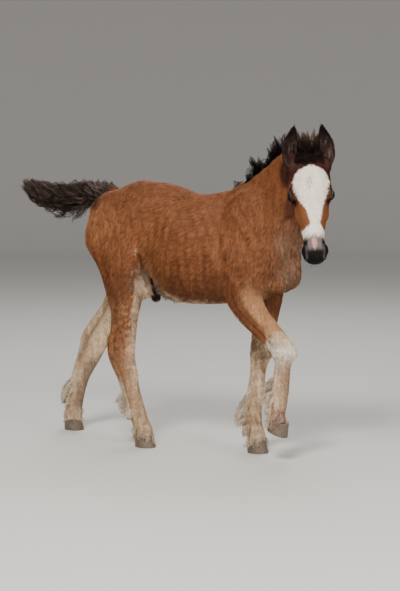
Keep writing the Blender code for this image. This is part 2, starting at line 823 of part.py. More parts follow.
def forelock():
    """A tuft between the ears: some locks stand up, the rest tip over the forehead."""
    draw = random.Random(5)
    made = []
    turn = HEAD.to_3x3()
    for i in range(FORELOCK_LOCKS):
        t = i / (FORELOCK_LOCKS - 1)
        across = 2 * ((i * 0.618) % 1) - 1
        root = HEAD @ Vector((-0.030 + 0.055 * t, 0.032 * across, -0.004 - 0.006 * across**2))
        rise = turn @ Vector((0.55 * t - 0.35, 0.3 * across, 1))
        lie = turn @ Vector((1.6 * t, 0.3 * across + draw.uniform(-0.2, 0.2), 0.9 - t))
        length = FORELOCK_LENGTH * draw.uniform(0.8, 1.15)
        made.append(lock(bent_path(root, rise, lie, length, 4), 0.032, turn @ Vector((1, 0.3 * across, 0.8))))
    return made


# The tail's hair fills these sections: centre, then reach up, reach down and half width.
TAIL = [
    (-0.300, 0, 0.930, 0.024, 0.026, 0.026),
    (-0.345, 0, 0.940, 0.026, 0.028, 0.027),
    (-0.390, 0, 0.942, 0.030, 0.040, 0.032),
    (-0.440, 0, 0.934, 0.038, 0.064, 0.042),
    (-0.490, 0, 0.922, 0.042, 0.086, 0.046),
    (-0.545, 0, 0.915, 0.044, 0.088, 0.046),
    (-0.600, 0, 0.915, 0.036, 0.074, 0.044),
    (-0.650, 0, 0.925, 0.042, 0.056, 0.040),
    (-0.700, 0, 0.942, 0.034, 0.036, 0.030),
    (-0.737, 0, 0.958, 0.014, 0.014, 0.012),
]


def tail_hair():
    """The bony dock inside and the locks that sweep back from all round it."""
    draw = random.Random(23)
    steps = 12
    rows = curve_through(TAIL, steps)
    core = []
    for i, (x, y, z, *_) in enumerate(TAIL[:8]):
        radius = DOCK_RADIUS * (0.95 - 0.07 * i)
        core.append((x, y, z + 0.006, radius, radius, radius))
    made = []
    for i in range(TAIL_LOCKS):
        t = (i + 0.5) / TAIL_LOCKS
        angle = 2.4 * i
        start = int((0.14 + 0.62 * t) * (len(rows) - 1))
        end = min(len(rows) - 1, start + int(steps * (1.5 + 0.9 * t + 0.5 * draw.random())))
        root, tip = Vector(rows[start][:3]), Vector(rows[end][:3])
        c, s = math.cos(angle), math.sin(angle)
        for place, share, row in ((root, 0.25, rows[start]), (tip, 1.0, rows[end])):
            place += share * Vector((0, s * row[5], c * (row[3] if c > 0 else row[4])))
        swell = Vector((0, s * rows[start][5], c * (rows[start][3] if c > 0 else rows[start][4])))
        middle = root.lerp(tip, 0.45) + swell * 0.55
        path = []
        for k in range(5):
            u = k / 4
            path.append(root * (1 - u) ** 2 + middle * 2 * u * (1 - u) + tip * u * u)
        made.append(lock(path, 0.040, Vector((0.1, s, c))))
    return loft("tail", core, UP, ring=10, steps=2), made


# The section of the leg that a level of roots is on, and their angles from straight behind.
FEATHER_ROOTS = [(-6, (-0.5, 0.5)), (-5, (-1.1, 0, 1.1)), (-4, (-0.6, 0.6)), (-3, (-1.1, 0, 1.1))]


def feather(leg_rows, reaches):
    """Locks behind a fetlock, from the low cannon to the coronet, that fall back and down."""
    draw = random.Random(int(leg_rows[0][0] * 1000))
    made = []
    for level, angles in FEATHER_ROOTS:
        centre = Vector(leg_rows[level])
        ahead, behind, width = reaches[level]
        for angle in angles:
            angle += draw.uniform(-0.12, 0.12)
            out = Vector((-math.cos(angle) * behind, math.sin(angle) * width, 0))
            root = centre + out * 0.75
            rise = out.normalized() * 0.8 - UP
            lie = Vector((-0.20 * math.cos(angle), 0.15 * math.sin(angle), -1))
            longest = FEATHER_LENGTH * (1 if level in (-5, -4) else 0.8)
            length = min(longest * draw.uniform(0.85, 1.15), (root.z - 0.008) / 0.90)
            made.append(lock(bent_path(root, rise, lie, length, 3), 0.048, out))
    return made


# Parting into nodes


# Outlines of the spaces the legs are cut from: across the body for a foreleg, as y and z with y
# toward the leg's side, and along it for a hind leg, as x and z.
FORE_REGION = {
    "left": [(0.040, 0.6), (0.3, 0.6), (0.3, -0.1), (-0.025, -0.1), (-0.025, 0.49), (0.040, 0.52)],
    "right": [(0.040, 0.6), (0.3, 0.6), (0.3, -0.1), (0.026, -0.1), (0.026, 0.49), (0.040, 0.52)],
}
HIND_REGION = [
    (-0.030, -0.100),
    (-0.030, 0.350),
    (-0.095, 0.500),
    (-0.128, 0.600),
    (-0.430, 0.790),
    (-0.800, 0.790),
    (-0.800, -0.100),
]
JOINT_CUTS = {
    "foreleg_right": ((0.452, -0.092, 0.405), (-0.37, 0, 0.93)),
    "foreleg_left": ((0.293, 0.067, 0.430), (0, 0, 1)),
    "hindleg_right": ((-0.205, -0.092, 0.440), (0, 0, 1)),
    "hindleg_left": ((-0.405, 0.095, 0.440), (0.56, 0, 0.83)),
}
LEG_ROWS = {
    "foreleg_right": (RIGHT_FORE, FORE_REACH, 0.35),
    "foreleg_left": (LEFT_FORE, FORE_REACH, 0.0),
    "hindleg_right": (RIGHT_HIND, HIND_REACH, 0.0),
    "hindleg_left": (LEFT_HIND, HIND_REACH, 0.0),
}


def widened(outline):
    """The outline pushed out by the gap, corner by corner."""
    middle = Vector((sum(x for x, z in outline), sum(z for x, z in outline))) / len(outline)
    wide = []
    for i, corner in enumerate(outline):
        before, after = Vector(outline[i - 1]), Vector(outline[(i + 1) % len(outline)])
        corner = Vector(corner)
        first = (corner - before).orthogonal().normalized()
        second = (after - corner).orthogonal().normalized()
        outward = 1 if first.dot(corner - middle) + second.dot(corner - middle) > 0 else -1
        bend = (first + second).normalized()
        wide.append(corner + bend * outward * GAP / max(0.3, bend.dot(first)))
    return [(v.x, v.y) for v in wide]


def leg_region(name, spare):
    """The space of one leg, as a solid, with this much added all round."""
    kind, side_name = name.split("_")
    side = 1 if side_name == "left" else -1
    outline = HIND_REGION if kind == "hindleg" else FORE_REGION[side_name]
    if spare:
        outline = widened(outline)
    if kind == "hindleg":
        low, high = sorted((0, 0.30 * side))
        return prism("region", outline, low - spare, high + spare)
    region = prism("region", [(y * side, z) for y, z in outline], -0.600 - spare, -0.195 + spare)
    region.data.transform(Matrix.Rotation(math.radians(90), 4, "Z"))
    return region


def part_legs(body):
    """Cuts the four legs off the body, each at its own region."""
    legs = []
    for name in JOINT_CUTS:
        part = copy_of(body, name)
        combine(part, [leg_region(name, 0)], "INTERSECT")
        legs.append(part)
        combine(body, [leg_region(name, GAP)], "DIFFERENCE")
    return legs


# The head ends at a steep plane behind the ears and the jaw; the throat passes under it.
HEAD_REGION = [(0.443, 0.855), (0.547, 1.250), (0.900, 1.250), (0.900, 0.600), (0.512, 0.600), (0.512, 0.855)]


def make_head():
    """The head down to a flat face behind the ears and jaw, with eyes, mouth and nostrils cut in."""
    head = join("head", head_pieces() + [neck()])
    fuse_by_voxels(head, HEAD_VOXEL)
    smooth(head, 8)
    generous = [(x - 0.01, z) for x, z in HEAD_REGION]
    combine(head, [prism("region", generous, -0.5, 0.5)], "INTERSECT")
    thin_out(head, HEAD_FACES)
    ears = make_ears(head)
    combine(head, mane() + forelock(), "UNION")
    combine(head, [prism("region", HEAD_REGION, -0.5, 0.5)], "INTERSECT")
    keep_clear(head, ears)
    eyes = [add_eye(head, side, name) for side, name in ((-1, "eye_right"), (1, "eye_left"))]
    combine(head, [nostril_cutter(-1), nostril_cutter(1), mouth_cutter()], "DIFFERENCE")
    return [head] + eyes + ears


def make_ears(head):
    """The ears, with their roots cut flush to the head."""
    ears = [ear("ear_right", -1), ear("ear_left", 1)]
    for part in ears:
        combine(part, [copy_of(head, "out", 2.5 * GAP)], "DIFFERENCE")
    return ears


def keep_clear(piece, ears):
    """Cuts the hair on a piece clear of the ears."""
    for part in ears:
        combine(piece, [copy_of(part, "clear", 1.5 * GAP)], "DIFFERENCE")


def make_legs(legs):
    """Cuts each leg across its joint, ends it at the coronet and puts the hoof under it."""
    made = []
    for whole in legs:
        kind, side = whole.name.split("_")
        point, normal = JOINT_CUTS[whole.name]
        rows, reaches, tilt = LEG_ROWS[whole.name]
        whole.name = "whole"
        upper, lower = split(whole, (f"{kind}_{side}_upper", f"{kind}_{side}_lower"), point, normal)
        combine(lower, [beyond(*coronet(rows, tilt), 0)], "INTERSECT")
        combine(lower, feather(rows, reaches), "UNION")
        foot = hoof(f"{kind[:-3]}hoof_{side}", rows, tilt)
        combine(lower, [copy_of(foot, "clear", GAP)], "DIFFERENCE")
        made += [upper, lower, foot]
    return made


def make_body():
    """Trunk, neck and legs in one skin, then parted, and the tail."""
    body = join("body", trunk_pieces() + [neck()] + leg_pieces())
    fuse_by_voxels(body, BODY_VOXEL)
    smooth(body, 3)
    smooth(body, 70, lambda p: min(1, max(0, (p.z - 0.50) / 0.12)))
    thin_out(body, BODY_FACES)
    combine(body, mane(), "UNION")
    combine(body, [prism("region", widened(HEAD_REGION), -0.5, 0.5)], "DIFFERENCE")
    legs = part_legs(body)
    neck_part, torso = split(body, ("neck", "torso"), (0.365, 0, 0.855), (0.77, 0, 0.64))
    under = sheath()
    for part in legs[2:]:
        combine(part, [copy_of(under, "sheath_out", GAP)], "DIFFERENCE")
    combine(torso, [under], "UNION")
    tail, locks = tail_hair()
    combine(tail, locks, "UNION")
    combine(tail, [copy_of(torso, "torso_out", GAP)], "DIFFERENCE")
    return [torso, neck_part, tail] + make_legs(legs)


def stand_on_origin(nodes):
    """Moves everything so that the middle of its box is over the origin."""
    corners = [v.co for node in nodes for v in node.data.vertices]
    middle = [(min(c[i] for c in corners) + max(c[i] for c in corners)) / 2 for i in (0, 1)]
    for node in nodes:
        node.data.transform(Matrix.Translation((-middle[0], -middle[1], 0)))


def main():
    clear_scene()
    head = make_head()
    body = make_body()
    keep_clear(body[1], head[3:])
    nodes = head + body
    stand_on_origin(nodes)
    made = {name: make_material(name, colour, roughness) for name, (colour, roughness) in MATERIALS.items()}
    for node in nodes:
        node.data.materials.clear()
        node.data.materials.append(made[material_of(node.name)])
        node.data.shade_smooth()
        node.data.set_sharp_from_angle(angle=SHARP_ANGLE)


main()
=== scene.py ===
import math

import bmesh
import bpy
import numpy as np
from mathutils import Matrix, Vector


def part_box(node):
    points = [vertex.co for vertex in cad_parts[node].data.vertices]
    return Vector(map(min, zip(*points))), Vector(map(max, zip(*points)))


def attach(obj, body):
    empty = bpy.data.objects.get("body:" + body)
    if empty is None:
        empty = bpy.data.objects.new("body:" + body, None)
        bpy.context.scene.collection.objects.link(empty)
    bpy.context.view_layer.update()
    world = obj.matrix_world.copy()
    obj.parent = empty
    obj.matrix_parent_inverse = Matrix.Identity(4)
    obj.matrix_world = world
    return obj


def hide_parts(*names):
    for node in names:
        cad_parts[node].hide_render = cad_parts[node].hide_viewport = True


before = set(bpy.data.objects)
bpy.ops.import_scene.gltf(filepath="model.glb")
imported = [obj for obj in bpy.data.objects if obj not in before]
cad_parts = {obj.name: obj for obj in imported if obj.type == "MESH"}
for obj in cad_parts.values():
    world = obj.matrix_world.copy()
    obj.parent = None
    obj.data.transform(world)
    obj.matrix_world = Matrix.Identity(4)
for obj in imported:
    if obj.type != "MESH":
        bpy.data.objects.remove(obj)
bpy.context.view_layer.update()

# Skin.
# The foal's flesh is one unbroken skin from the dock to the lips. It is built up as a taxidermist's
# form is: oval sections down the trunk, neck, head and legs, rounded out with pads of muscle, then
# melted together and taken down by the depth of the coat that will lie on it.

COAT_DEPTH_TRUNK = 0.0045
COAT_DEPTH_LEG = 0.0028
COAT_DEPTH_HEAD = 0.0012
BODY_VOXEL = 0.006
SKIN_VOXEL = 0.003
SKIN_FACES = 160_000
FACE_EDGE = 0.0016

UP = Vector((0, 0, 1))
FORWARD = Vector((1, 0, 0))
CREST = Vector((-0.65, 0, 0.75))

# The head hangs from the poll, the top of the skull between the ears.
POLL = Vector((0.5568, -0.095, 1.0855))
HEAD_AZIMUTH = math.radians(-58.6)
HEAD_PITCH = math.radians(66)
HEAD_ROLL = math.radians(2.7)

EYE_RADIUS = 0.0185
EYE_PLACE = Vector((0.1455, 0.059, -0.028))
LID_THICK = 0.0045
LID_HALF_LENGTH = 0.0165
LID_HEIGHT = 0.0092

# The foal's own measure has its origin under the middle of the trunk. The frame's box is centred
# instead, so every piece moves by the distance between the two, read at the left forehoof.
FOREHOOF_BACK, FOREHOOF_RIGHT = 0.257, -0.015
hoof_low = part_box("forehoof_left")[0]
HOME = Vector((hoof_low.x - FOREHOOF_BACK, hoof_low.y - FOREHOOF_RIGHT, 0))


def millimetres(sizes):
    """Sizes in millimetres, and shares in thousandths, in rows of any depth, as metres and shares."""
    if isinstance(sizes, (list, tuple)):
        return type(sizes)(millimetres(size) for size in sizes)
    return round(sizes / 1000, 6)


# Trunk: each section's centre, its reach up, its reach down, its half width and its pinch.
NECK = millimetres([
    (270, 0, 815, 155, 165, 92, 150), (350, 0, 850, 158, 165, 84, 200),
    (405, -6, 908, 145, 138, 70, 200), (452, -24, 965, 122, 112, 60, 150),
    (490, -50, 1012, 98, 88, 54, 100), (520, -74, 1038, 74, 74, 51, 50),
    (542, -92, 1046, 50, 56, 46),
])
BARREL = millimetres([
    (-352, 0, 870, 50, 80, 45), (-320, 0, 845, 104, 140, 80), (-250, 0, 824, 148, 190, 112),
    (-160, 0, 802, 180, 215, 125), (-70, 0, 778, 190, 222, 123), (10, 0, 748, 195, 220, 130),
    (90, 0, 737, 199, 210, 134), (170, 0, 737, 208, 202, 126, 150),
    (240, 0, 742, 212, 198, 113, 300), (310, 0, 747, 198, 188, 102, 300),
    (380, 0, 745, 160, 162, 92, 200), (430, 0, 735, 120, 120, 74), (456, 0, 725, 70, 70, 45),
])
# Legs: reach ahead, reach behind and half width at each section, then the sections' middles.
HIND_REACH = millimetres([
    (100, 110, 55), (132, 146, 66), (118, 116, 67), (94, 93, 63), (80, 80, 57), (63, 63, 49),
    (53, 57, 42), (53, 58, 36), (58, 64, 35), (52, 56, 32), (46, 48, 30), (41, 42, 29),
    (37, 39, 29), (36, 36, 31), (35, 34, 30), (37, 36, 32), (34, 32, 30),
])
RIGHT_HIND = millimetres([
    (-235, -70, 860), (-240, -78, 780), (-222, -84, 700), (-210, -90, 632), (-202, -93, 570),
    (-201, -94, 515), (-203, -94, 465), (-209, -92, 418), (-220, -90, 358), (-211, -90, 308),
    (-197, -90, 270), (-187, -90, 230), (-173, -90, 185), (-157, -90, 137), (-141, -90, 96),
    (-123, -90, 56), (-116, -90, 30),
])
LEFT_HIND = millimetres([
    (-240, 70, 860), (-258, 78, 780), (-280, 84, 700), (-302, 90, 632), (-325, 94, 570),
    (-355, 96, 512), (-388, 96, 462), (-427, 94, 412), (-462, 93, 357), (-484, 91, 308),
    (-503, 90, 270), (-524, 90, 228), (-541, 90, 182), (-553, 90, 137), (-560, 90, 96),
    (-564, 90, 56), (-562, 90, 30),
])
FORE_REACH = millimetres([
    (95, 100, 45), (88, 100, 52), (72, 80, 51), (62, 70, 47), (52, 58, 41), (45, 50, 37),
    (43, 46, 36), (44, 43, 37), (38, 38, 34), (32, 32, 29), (34, 32, 28), (36, 34, 28),
    (37, 37, 29), (38, 40, 32), (35, 36, 31), (37, 36, 32), (34, 32, 30),
])
RIGHT_FORE = millimetres([
    (335, -70, 720), (312, -82, 660), (300, -90, 600), (318, -92, 548), (352, -92, 505),
    (396, -92, 463), (432, -92, 430), (457, -92, 398), (461, -92, 366), (457, -92, 337),
    (452, -92, 302), (447, -92, 262), (441, -92, 225), (434, -92, 192), (431, -92, 168),
    (434, -92, 146), (437, -92, 130),
])
LEFT_FORE = millimetres([
    (335, 70, 720), (312, 80, 660), (297, 85, 600), (296, 82, 545), (295, 75, 490), (293, 67, 435),
    (291, 62, 403), (287, 58, 368), (284, 53, 335), (282, 47, 300), (279, 42, 262), (275, 35, 215),
    (271, 30, 175), (269, 26, 137), (278, 23, 96), (291, 20, 56), (297, 20, 30),
])
LEGS = [(RIGHT_HIND, HIND_REACH), (LEFT_HIND, HIND_REACH), (RIGHT_FORE, FORE_REACH), (LEFT_FORE, FORE_REACH)]


def head_matrix():
    """Head measure: x along the face to the nose, y to the foal's left, z out of the forehead."""
    heading = Vector((math.cos(HEAD_AZIMUTH), math.sin(HEAD_AZIMUTH), 0))
    along = heading * math.cos(HEAD_PITCH) - UP * math.sin(HEAD_PITCH)
    out = heading * math.sin(HEAD_PITCH) + UP * math.cos(HEAD_PITCH)
    turn = Matrix((along, out.cross(along), out)).transposed()
    return Matrix.Translation(POLL) @ (Matrix.Rotation(HEAD_ROLL, 3, heading) @ turn).to_4x4()


HEAD = head_matrix()


def curve_through(rows, steps):
    """Rows of numbers carried through by a Catmull-Rom curve, with this many steps to a span."""
    rows = np.array(rows, float)
    ends = np.vstack([2 * rows[0] - rows[1], rows, 2 * rows[-1] - rows[-2]])
    made = []
    for i in range(1, len(ends) - 2):
        a, b, c, d = ends[i - 1 : i + 3]
        for k in range(steps):
            t = k / steps
            square, cube = t * t, t * t * t
            bend = (2 * a - 5 * b + 4 * c - d) * square + (3 * b - a - 3 * c + d) * cube
            made.append(0.5 * (2 * b + (c - a) * t + bend))
    made.append(rows[-1])
    return np.array(made)


def ring_faces(rings, ring):
    """Quads between rings of points, then a fan over each end, whose tips are the last two points."""
    faces = []
    for i in range(rings - 1):
        for k in range(ring):
            a, b = i * ring + k, i * ring + (k + 1) % ring
            faces.append((a, b, b + ring, a + ring))
    first_tip, last_tip = rings * ring, rings * ring + 1
    last = (rings - 1) * ring
    for k in range(ring):
        faces.append((first_tip, (k + 1) % ring, k))
        faces.append((last_tip, last + k, last + (k + 1) % ring))
    return faces


def circle(count):
    """Angles all round, with their cosines and sines."""
    angles = [2 * math.pi * k / count for k in range(count)]
    return [(angle, math.cos(angle), math.sin(angle)) for angle in angles]


def flesh(rows, toward, ring):
    """A closed form over oval sections.

    A row holds the section's centre x, y, z, its reach toward the given direction, its reach the
    other way, its half width and, if it has one, a pinch that narrows the side it faces.
    """
    dense = curve_through([tuple(row) + (0,) * (7 - len(row)) for row in rows], 4)
    centres = dense[:, :3]
    tangents = np.gradient(centres, axis=0)
    points = []
    for centre, tangent, (ahead, behind, width, pinch) in zip(centres, tangents, dense[:, 3:]):
        t = Vector(tangent).normalized()
        u = (toward - t * toward.dot(t)).normalized()
        side = t.cross(u)
        for _, c, s in circle(ring):
            reach = ahead if c > 0 else behind
            points.append(Vector(centre) + u * reach * c + side * width * (1 - pinch * c) * s)
    points += [Vector(centres[0]), Vector(centres[-1])]
    return points, ring_faces(len(centres), ring)


def ball(rings, ring, reach):
    """A ball's points from its top down, the two tips last; reach is a length for each polar angle."""
    points = []
    for i in range(rings):
        polar = math.pi * (i + 1) / (rings + 1)
        across, up = math.sin(polar), math.cos(polar)
        points += [Vector((across * c, across * s, up)) * reach(polar) for _, c, s in circle(ring)]
    return points + [UP * reach(0), -UP * reach(math.pi)]


def pad(centre, radii, turn):
    """A pad of muscle: an ellipsoid turned by a matrix."""
    size = Matrix.Diagonal(Vector(radii))
    return [Vector(centre) + turn @ (size @ p) for p in ball(15, 24, lambda polar: 1)], ring_faces(15, 24)


def pads(rows, sides=(1,)):
    """Pads from rows in millimetres: centre, radii and, if it leans, its slope in thousandths."""
    made = []
    for side in sides:
        for x, y, z, *radii in millimetres(rows):
            slope = radii.pop() if len(radii) > 3 else 0
            made.append(pad((x, y * side, z), radii, Matrix.Rotation(slope, 3, "Y")))
    return made


def put_in_scene(name, data):
    thing = bpy.data.objects.new(name, data)
    bpy.context.scene.collection.objects.link(thing)
    return thing


def piece_from(name, forms):
    """One object that holds the forms' meshes."""
    points, faces = [], []
    for form_points, form_faces in forms:
        start = len(points)
        points += [tuple(p) for p in form_points]
        faces += [tuple(start + i for i in face) for face in form_faces]
    mesh = bpy.data.meshes.new(name)
    mesh.from_pydata(points, [], faces)
    grid = bmesh.new()
    grid.from_mesh(mesh)
    bmesh.ops.recalc_face_normals(grid, faces=grid.faces)
    grid.to_mesh(mesh)
    grid.free()
    return put_in_scene(name, mesh)


def form_of(piece):
    """The piece's mesh as points and faces, and the piece is removed."""
    form = [v.co.copy() for v in piece.data.vertices], [tuple(p.vertices) for p in piece.data.polygons]
    bpy.data.objects.remove(piece)
    return form


def apply_modifiers(piece):
    graph = bpy.context.evaluated_depsgraph_get()
    made = bpy.data.meshes.new_from_object(piece.evaluated_get(graph))
    piece.modifiers.clear()
    piece.data = made
    return piece


def melt(piece, voxel):
    """Melts what overlaps into one closed surface."""
    modifier = piece.modifiers.new("melt", "REMESH")
    modifier.mode = "VOXEL"
    modifier.voxel_size = voxel
    return apply_modifiers(piece)


def smooth(piece, turns, weight=None):
    """Evens the surface. weight gives each point's share of it, from 0 to 1."""
    modifier = piece.modifiers.new("even", "SMOOTH")
    modifier.factor = 0.5
    modifier.iterations = turns
    if weight:
        group = piece.vertex_groups.new(name="share")
        for vertex in piece.data.vertices:
            group.add([vertex.index], weight(vertex.co), "REPLACE")
        modifier.vertex_group = group.name
    apply_modifiers(piece)
    piece.vertex_groups.clear()
    return piece


def thin_out(piece, faces):
    """Leaves about this many triangles, fewest where the surface is flattest."""
    count = sum(len(p.vertices) - 2 for p in piece.data.polygons)
    modifier = piece.modifiers.new("thin", "DECIMATE")
    modifier.ratio = min(1, faces / count)
    return apply_modifiers(piece)


def eye_centre(side):
    return HEAD @ Vector((EYE_PLACE.x, EYE_PLACE.y * side, EYE_PLACE.z))


def eye_frame(side):
    """x toward the nose along the lids, z out along the gaze."""
    turn = HEAD.to_3x3()
    gaze = (turn @ Vector((0.22, 0.86 * side, 0.42))).normalized()
    along = turn @ Vector((1, 0, 0))
    along = (along - gaze * along.dot(gaze)).normalized()
    return Matrix((along, gaze.cross(along), gaze)).transposed()


def trunk_forms():
    """Barrel, croup and breast, and the muscles that round them."""
    forms = [flesh(BARREL, UP, 32), flesh(NECK, CREST, 28)]
    forms += pads([
        (215, 0, 905, 100, 34, 50), (-170, 0, 876, 125, 88, 104), (-325, 0, 915, 50, 36, 40),
        (30, 0, 642, 150, 100, 112), (392, 0, 672, 80, 85, 90), (270, 0, 612, 110, 70, 70),
    ])
    return forms + pads([
        (275, 58, 815, 100, 40, 155, 450), (382, 70, 708, 64, 40, 72), (272, 82, 672, 95, 40, 78, -500),
        (405, 40, 648, 58, 40, 58), (-245, 62, 845, 132, 58, 100), (-95, 83, 862, 60, 32, 48),
        (60, 80, 730, 165, 58, 135), (-105, 70, 645, 75, 40, 85),
    ], (-1, 1))


def leg_forms():
    forms = [flesh([m + r for m, r in zip(middles, reaches)], FORWARD, 22) for middles, reaches in LEGS]
    for middles in (RIGHT_HIND, LEFT_HIND):
        hock = Vector(middles[8])
        shank = (Vector(middles[7]) - hock).normalized()
        point = hock - FORWARD * 0.046 + shank * 0.02
        forms.append(pad(point, (0.022, 0.018, 0.036), Matrix.Identity(3)))
    return forms + pads([(463, -92, 386, 49, 42, 43), (289, 56, 360, 45, 40, 42)])


def head_forms():
    """Skull and nose, jaw, cheeks, brows, lids, muzzle, lips and chin. Lengths run from the poll."""
    skull = millimetres([
        (-30, 0, -60, 35, 45, 38), (-5, 0, -62, 54, 56, 56), (35, 0, -64, 76, 60, 68),
        (82, 0, -62, 84, 60, 74), (127, 0, -56, 75, 54, 74.5), (162, 0, -52, 63, 48, 65),
        (195, 0, -50, 52, 44, 56), (235, 0, -48, 44, 40, 48), (268, 0, -47, 41, 36, 40.5),
        (300, 0, -47, 39, 34, 37), (330, 0, -48, 38, 32, 40), (356, 0, -51, 35, 30, 41),
        (374, 0, -56, 29, 24, 34), (385, 0, -61, 14, 12, 18),
    ])
    jaw = millimetres([
        (40, 0, -120, 50, 42, 50), (85, 0, -122, 52, 54, 58), (130, 0, -116, 52, 56, 57),
        (180, 0, -104, 46, 46, 49), (230, 0, -92, 40, 36, 41), (280, 0, -85, 34, 30, 34),
        (322, 0, -84, 26, 28, 30), (350, 0, -84, 18, 27, 30), (366, 0, -84, 10, 18, 21),
    ])
    forms = [flesh(skull, UP, 36), flesh(jaw, UP, 28)]
    forms += pads([
        (90, 0, -14, 62, 58, 32), (362, 0, -63, 25, 36, 17), (343, 0, -97, 22, 24, 18),
        (50, 0, -105, 66, 50, 66),
    ])
    forms += pads([
        (122, 38, -108, 66, 26, 60), (128, 50, -23, 48, 22.5, 20), (235, 22, -72, 75, 21, 22),
        (190, 48, -54, 45, 12, 12), (347, 31, -37, 26, 15, 21), (36, 56, -38, 34, 22, 30),
    ], (-1, 1))
    forms = [([HEAD @ p for p in points], faces) for points, faces in forms]
    reach = EYE_RADIUS + LID_THICK
    for side in (-1, 1):
        forms.append(pad(eye_centre(side), (reach * 1.25, reach * 1.02, reach), eye_frame(side)))
    return forms


def sheath_form():
    """The colt's sheath, which hangs in the groin."""
    rows = millimetres([
        (-160, 0, 665, 24, 22, 26), (-145, 0, 625, 28, 22, 28), (-133, 0, 580, 27, 21, 26),
        (-126, 0, 550, 22, 19, 21), (-122, 0, 532, 12, 11, 12),
    ])
    return flesh(rows, FORWARD, 20)


def dock_form():
    """The bony dock of the tail, raised level behind the croup."""
    rows = millimetres([
        (-300, 0, 930, 24, 26, 26), (-345, 0, 940, 24, 25, 24), (-400, 0, 944, 22, 22, 21),
        (-460, 0, 940, 18, 18, 17), (-520, 0, 930, 14, 14, 13), (-570, 0, 925, 8, 8, 8),
    ])
    return flesh(rows, UP, 16)


def rows_of(parts, name, width, kind):
    """What Blender keeps under this name for each part of a mesh, as rows of numbers."""
    flat = np.empty(width * len(parts), kind)
    parts.foreach_get(name, flat)
    return flat.reshape(-1, width)


def points_of(mesh):
    return rows_of(mesh.vertices, "co", 3, float)


def normals_of(mesh):
    return rows_of(mesh.vertex_normals, "vector", 3, np.float32).astype(float)


def put_points(mesh, points):
    mesh.vertices.foreach_set("co", np.ascontiguousarray(points, np.float32).ravel())
    mesh.update()


def fade(start, end, value):
    """0 before start, 1 after end, and an even swell between; end may be less than start."""
    t = np.clip((value - start) / (end - start), 0, 1)
    return t * t * (3 - 2 * t)


def bell(value, middle, width):
    """1 at the middle, and dying away to both sides within about this width."""
    return np.exp(-(((value - middle) / width) ** 2))


def through(matrix, points):
    """Rows of points carried through a matrix that turns and moves."""
    matrix = np.array(matrix)
    return points @ matrix[:3, :3].T + matrix[:3, 3]


def in_head(points):
    """Points in the head's own measure."""
    return through(HEAD.inverted(), points)


def from_eye(points, side):
    return points - np.array(eye_centre(side))


def lengths(rows):
    return np.linalg.norm(rows, axis=1)


def head_share(points):
    """1 on the head and 0 behind a steep plane at the back of the ears and jaw."""
    x, z = points[:, 0], points[:, 2]
    beyond = x - (0.443 + 0.263 * (z - 0.855))
    ahead = fade(-0.012, 0.012, beyond)
    return ahead * np.maximum(fade(0.85, 0.87, z), fade(0.505, 0.52, x))


def coat_depth(points):
    """How far the skin lies under the outside of the coat."""
    depth = COAT_DEPTH_LEG + (COAT_DEPTH_TRUNK - COAT_DEPTH_LEG) * fade(0.45, 0.62, points[:, 2])
    head = head_share(points)
    return depth * (1 - head) + COAT_DEPTH_HEAD * head


def unit(rows):
    return rows / np.maximum(np.linalg.norm(rows, axis=-1, keepdims=True), 1e-12)


def ripple(points, span, seed):
    """Soft noise from -1 to 1 whose swells are about this span across: a sum of crossing waves."""
    draw = np.random.default_rng(seed)
    total = np.zeros(len(points))
    for _ in range(8):
        heading = unit(draw.normal(size=3))
        waves = points @ heading * (2 * math.pi / span * draw.uniform(0.6, 1.6))
        total += np.sin(waves + draw.uniform(0, 2 * math.pi))
    return np.clip(total / 3.4, -1, 1)


def refine(piece, longest, inside):
    """Splits the edges longer than this whose middles lie inside, a test on rows of points."""
    for _ in range(4):
        grid = bmesh.new()
        grid.from_mesh(piece.data)
        edges = list(grid.edges)
        ends = np.array([(*e.verts[0].co, *e.verts[1].co) for e in edges])
        middles = (ends[:, :3] + ends[:, 3:]) / 2
        chosen = np.flatnonzero((lengths(ends[:, :3] - ends[:, 3:]) > longest) & inside(middles))
        if len(chosen):
            bmesh.ops.subdivide_edges(grid, edges=[edges[i] for i in chosen], cuts=1)
            bmesh.ops.triangulate(grid, faces=[f for f in grid.faces if len(f.verts) > 3])
        grid.to_mesh(piece.data)
        grid.free()
        if not len(chosen):
            break


def eye_measure(points, side):
    """Points in the eye's own measure: along the lids to the nose, up the lids, out along the gaze."""
    turn = np.array(eye_frame(side))
    local = from_eye(points, side) @ turn
    upward = Vector(turn[:, 1]).dot(HEAD.to_3x3() @ UP)
    local[:, 1] *= 1 if upward > 0 else -1
    return local


def lid_arch(u):
    """The upper lid's rise along the eye, as a share of its height."""
    return np.maximum(0, 1 - (u / LID_HALF_LENGTH) ** 2) ** 0.75


def lid_opening(local):
    """How far a point lies inside the almond between the lids, and how far above its middle.

    The first is below zero on a lid.
    """
    u, v = (local[:, :2] * (EYE_RADIUS / np.maximum(lengths(local), 1e-6))[:, None]).T
    upper = LID_HEIGHT * lid_arch(u) - 0.0004
    lower = -0.0064 * lid_arch(u) - 0.0004 - 0.0012 * fade(0.006, 0.016, u)
    return np.minimum(upper - v, v - lower), v - (upper + lower) / 2


# The line down the left nostril and the line of the mouth, in the head's measure.
NOSTRIL = millimetres([(331, 35, -24), (344, 36.5, -27.5), (358, 36, -36), (366, 33.5, -46.5)])
MOUTH_X = [0.3, 0.322, 0.345, 0.368, 0.395]
MOUTH_Z = [-0.074, -0.0765, -0.0775, -0.0765, -0.074]


def nostril_reach(local, side):
    """Distance to the nostril's comma as a share of its half width, which is least at the top."""
    line = curve_through([(x, y * side, z) for x, y, z in NOSTRIL], 6)
    gaps = np.linalg.norm(local[:, None] - line[None], axis=2)
    halves = np.interp(np.linspace(0, 1, len(line)), [0, 0.35, 0.75, 1], [0.0035, 0.0068, 0.0085, 0.006])
    return (gaps / halves).min(axis=1)


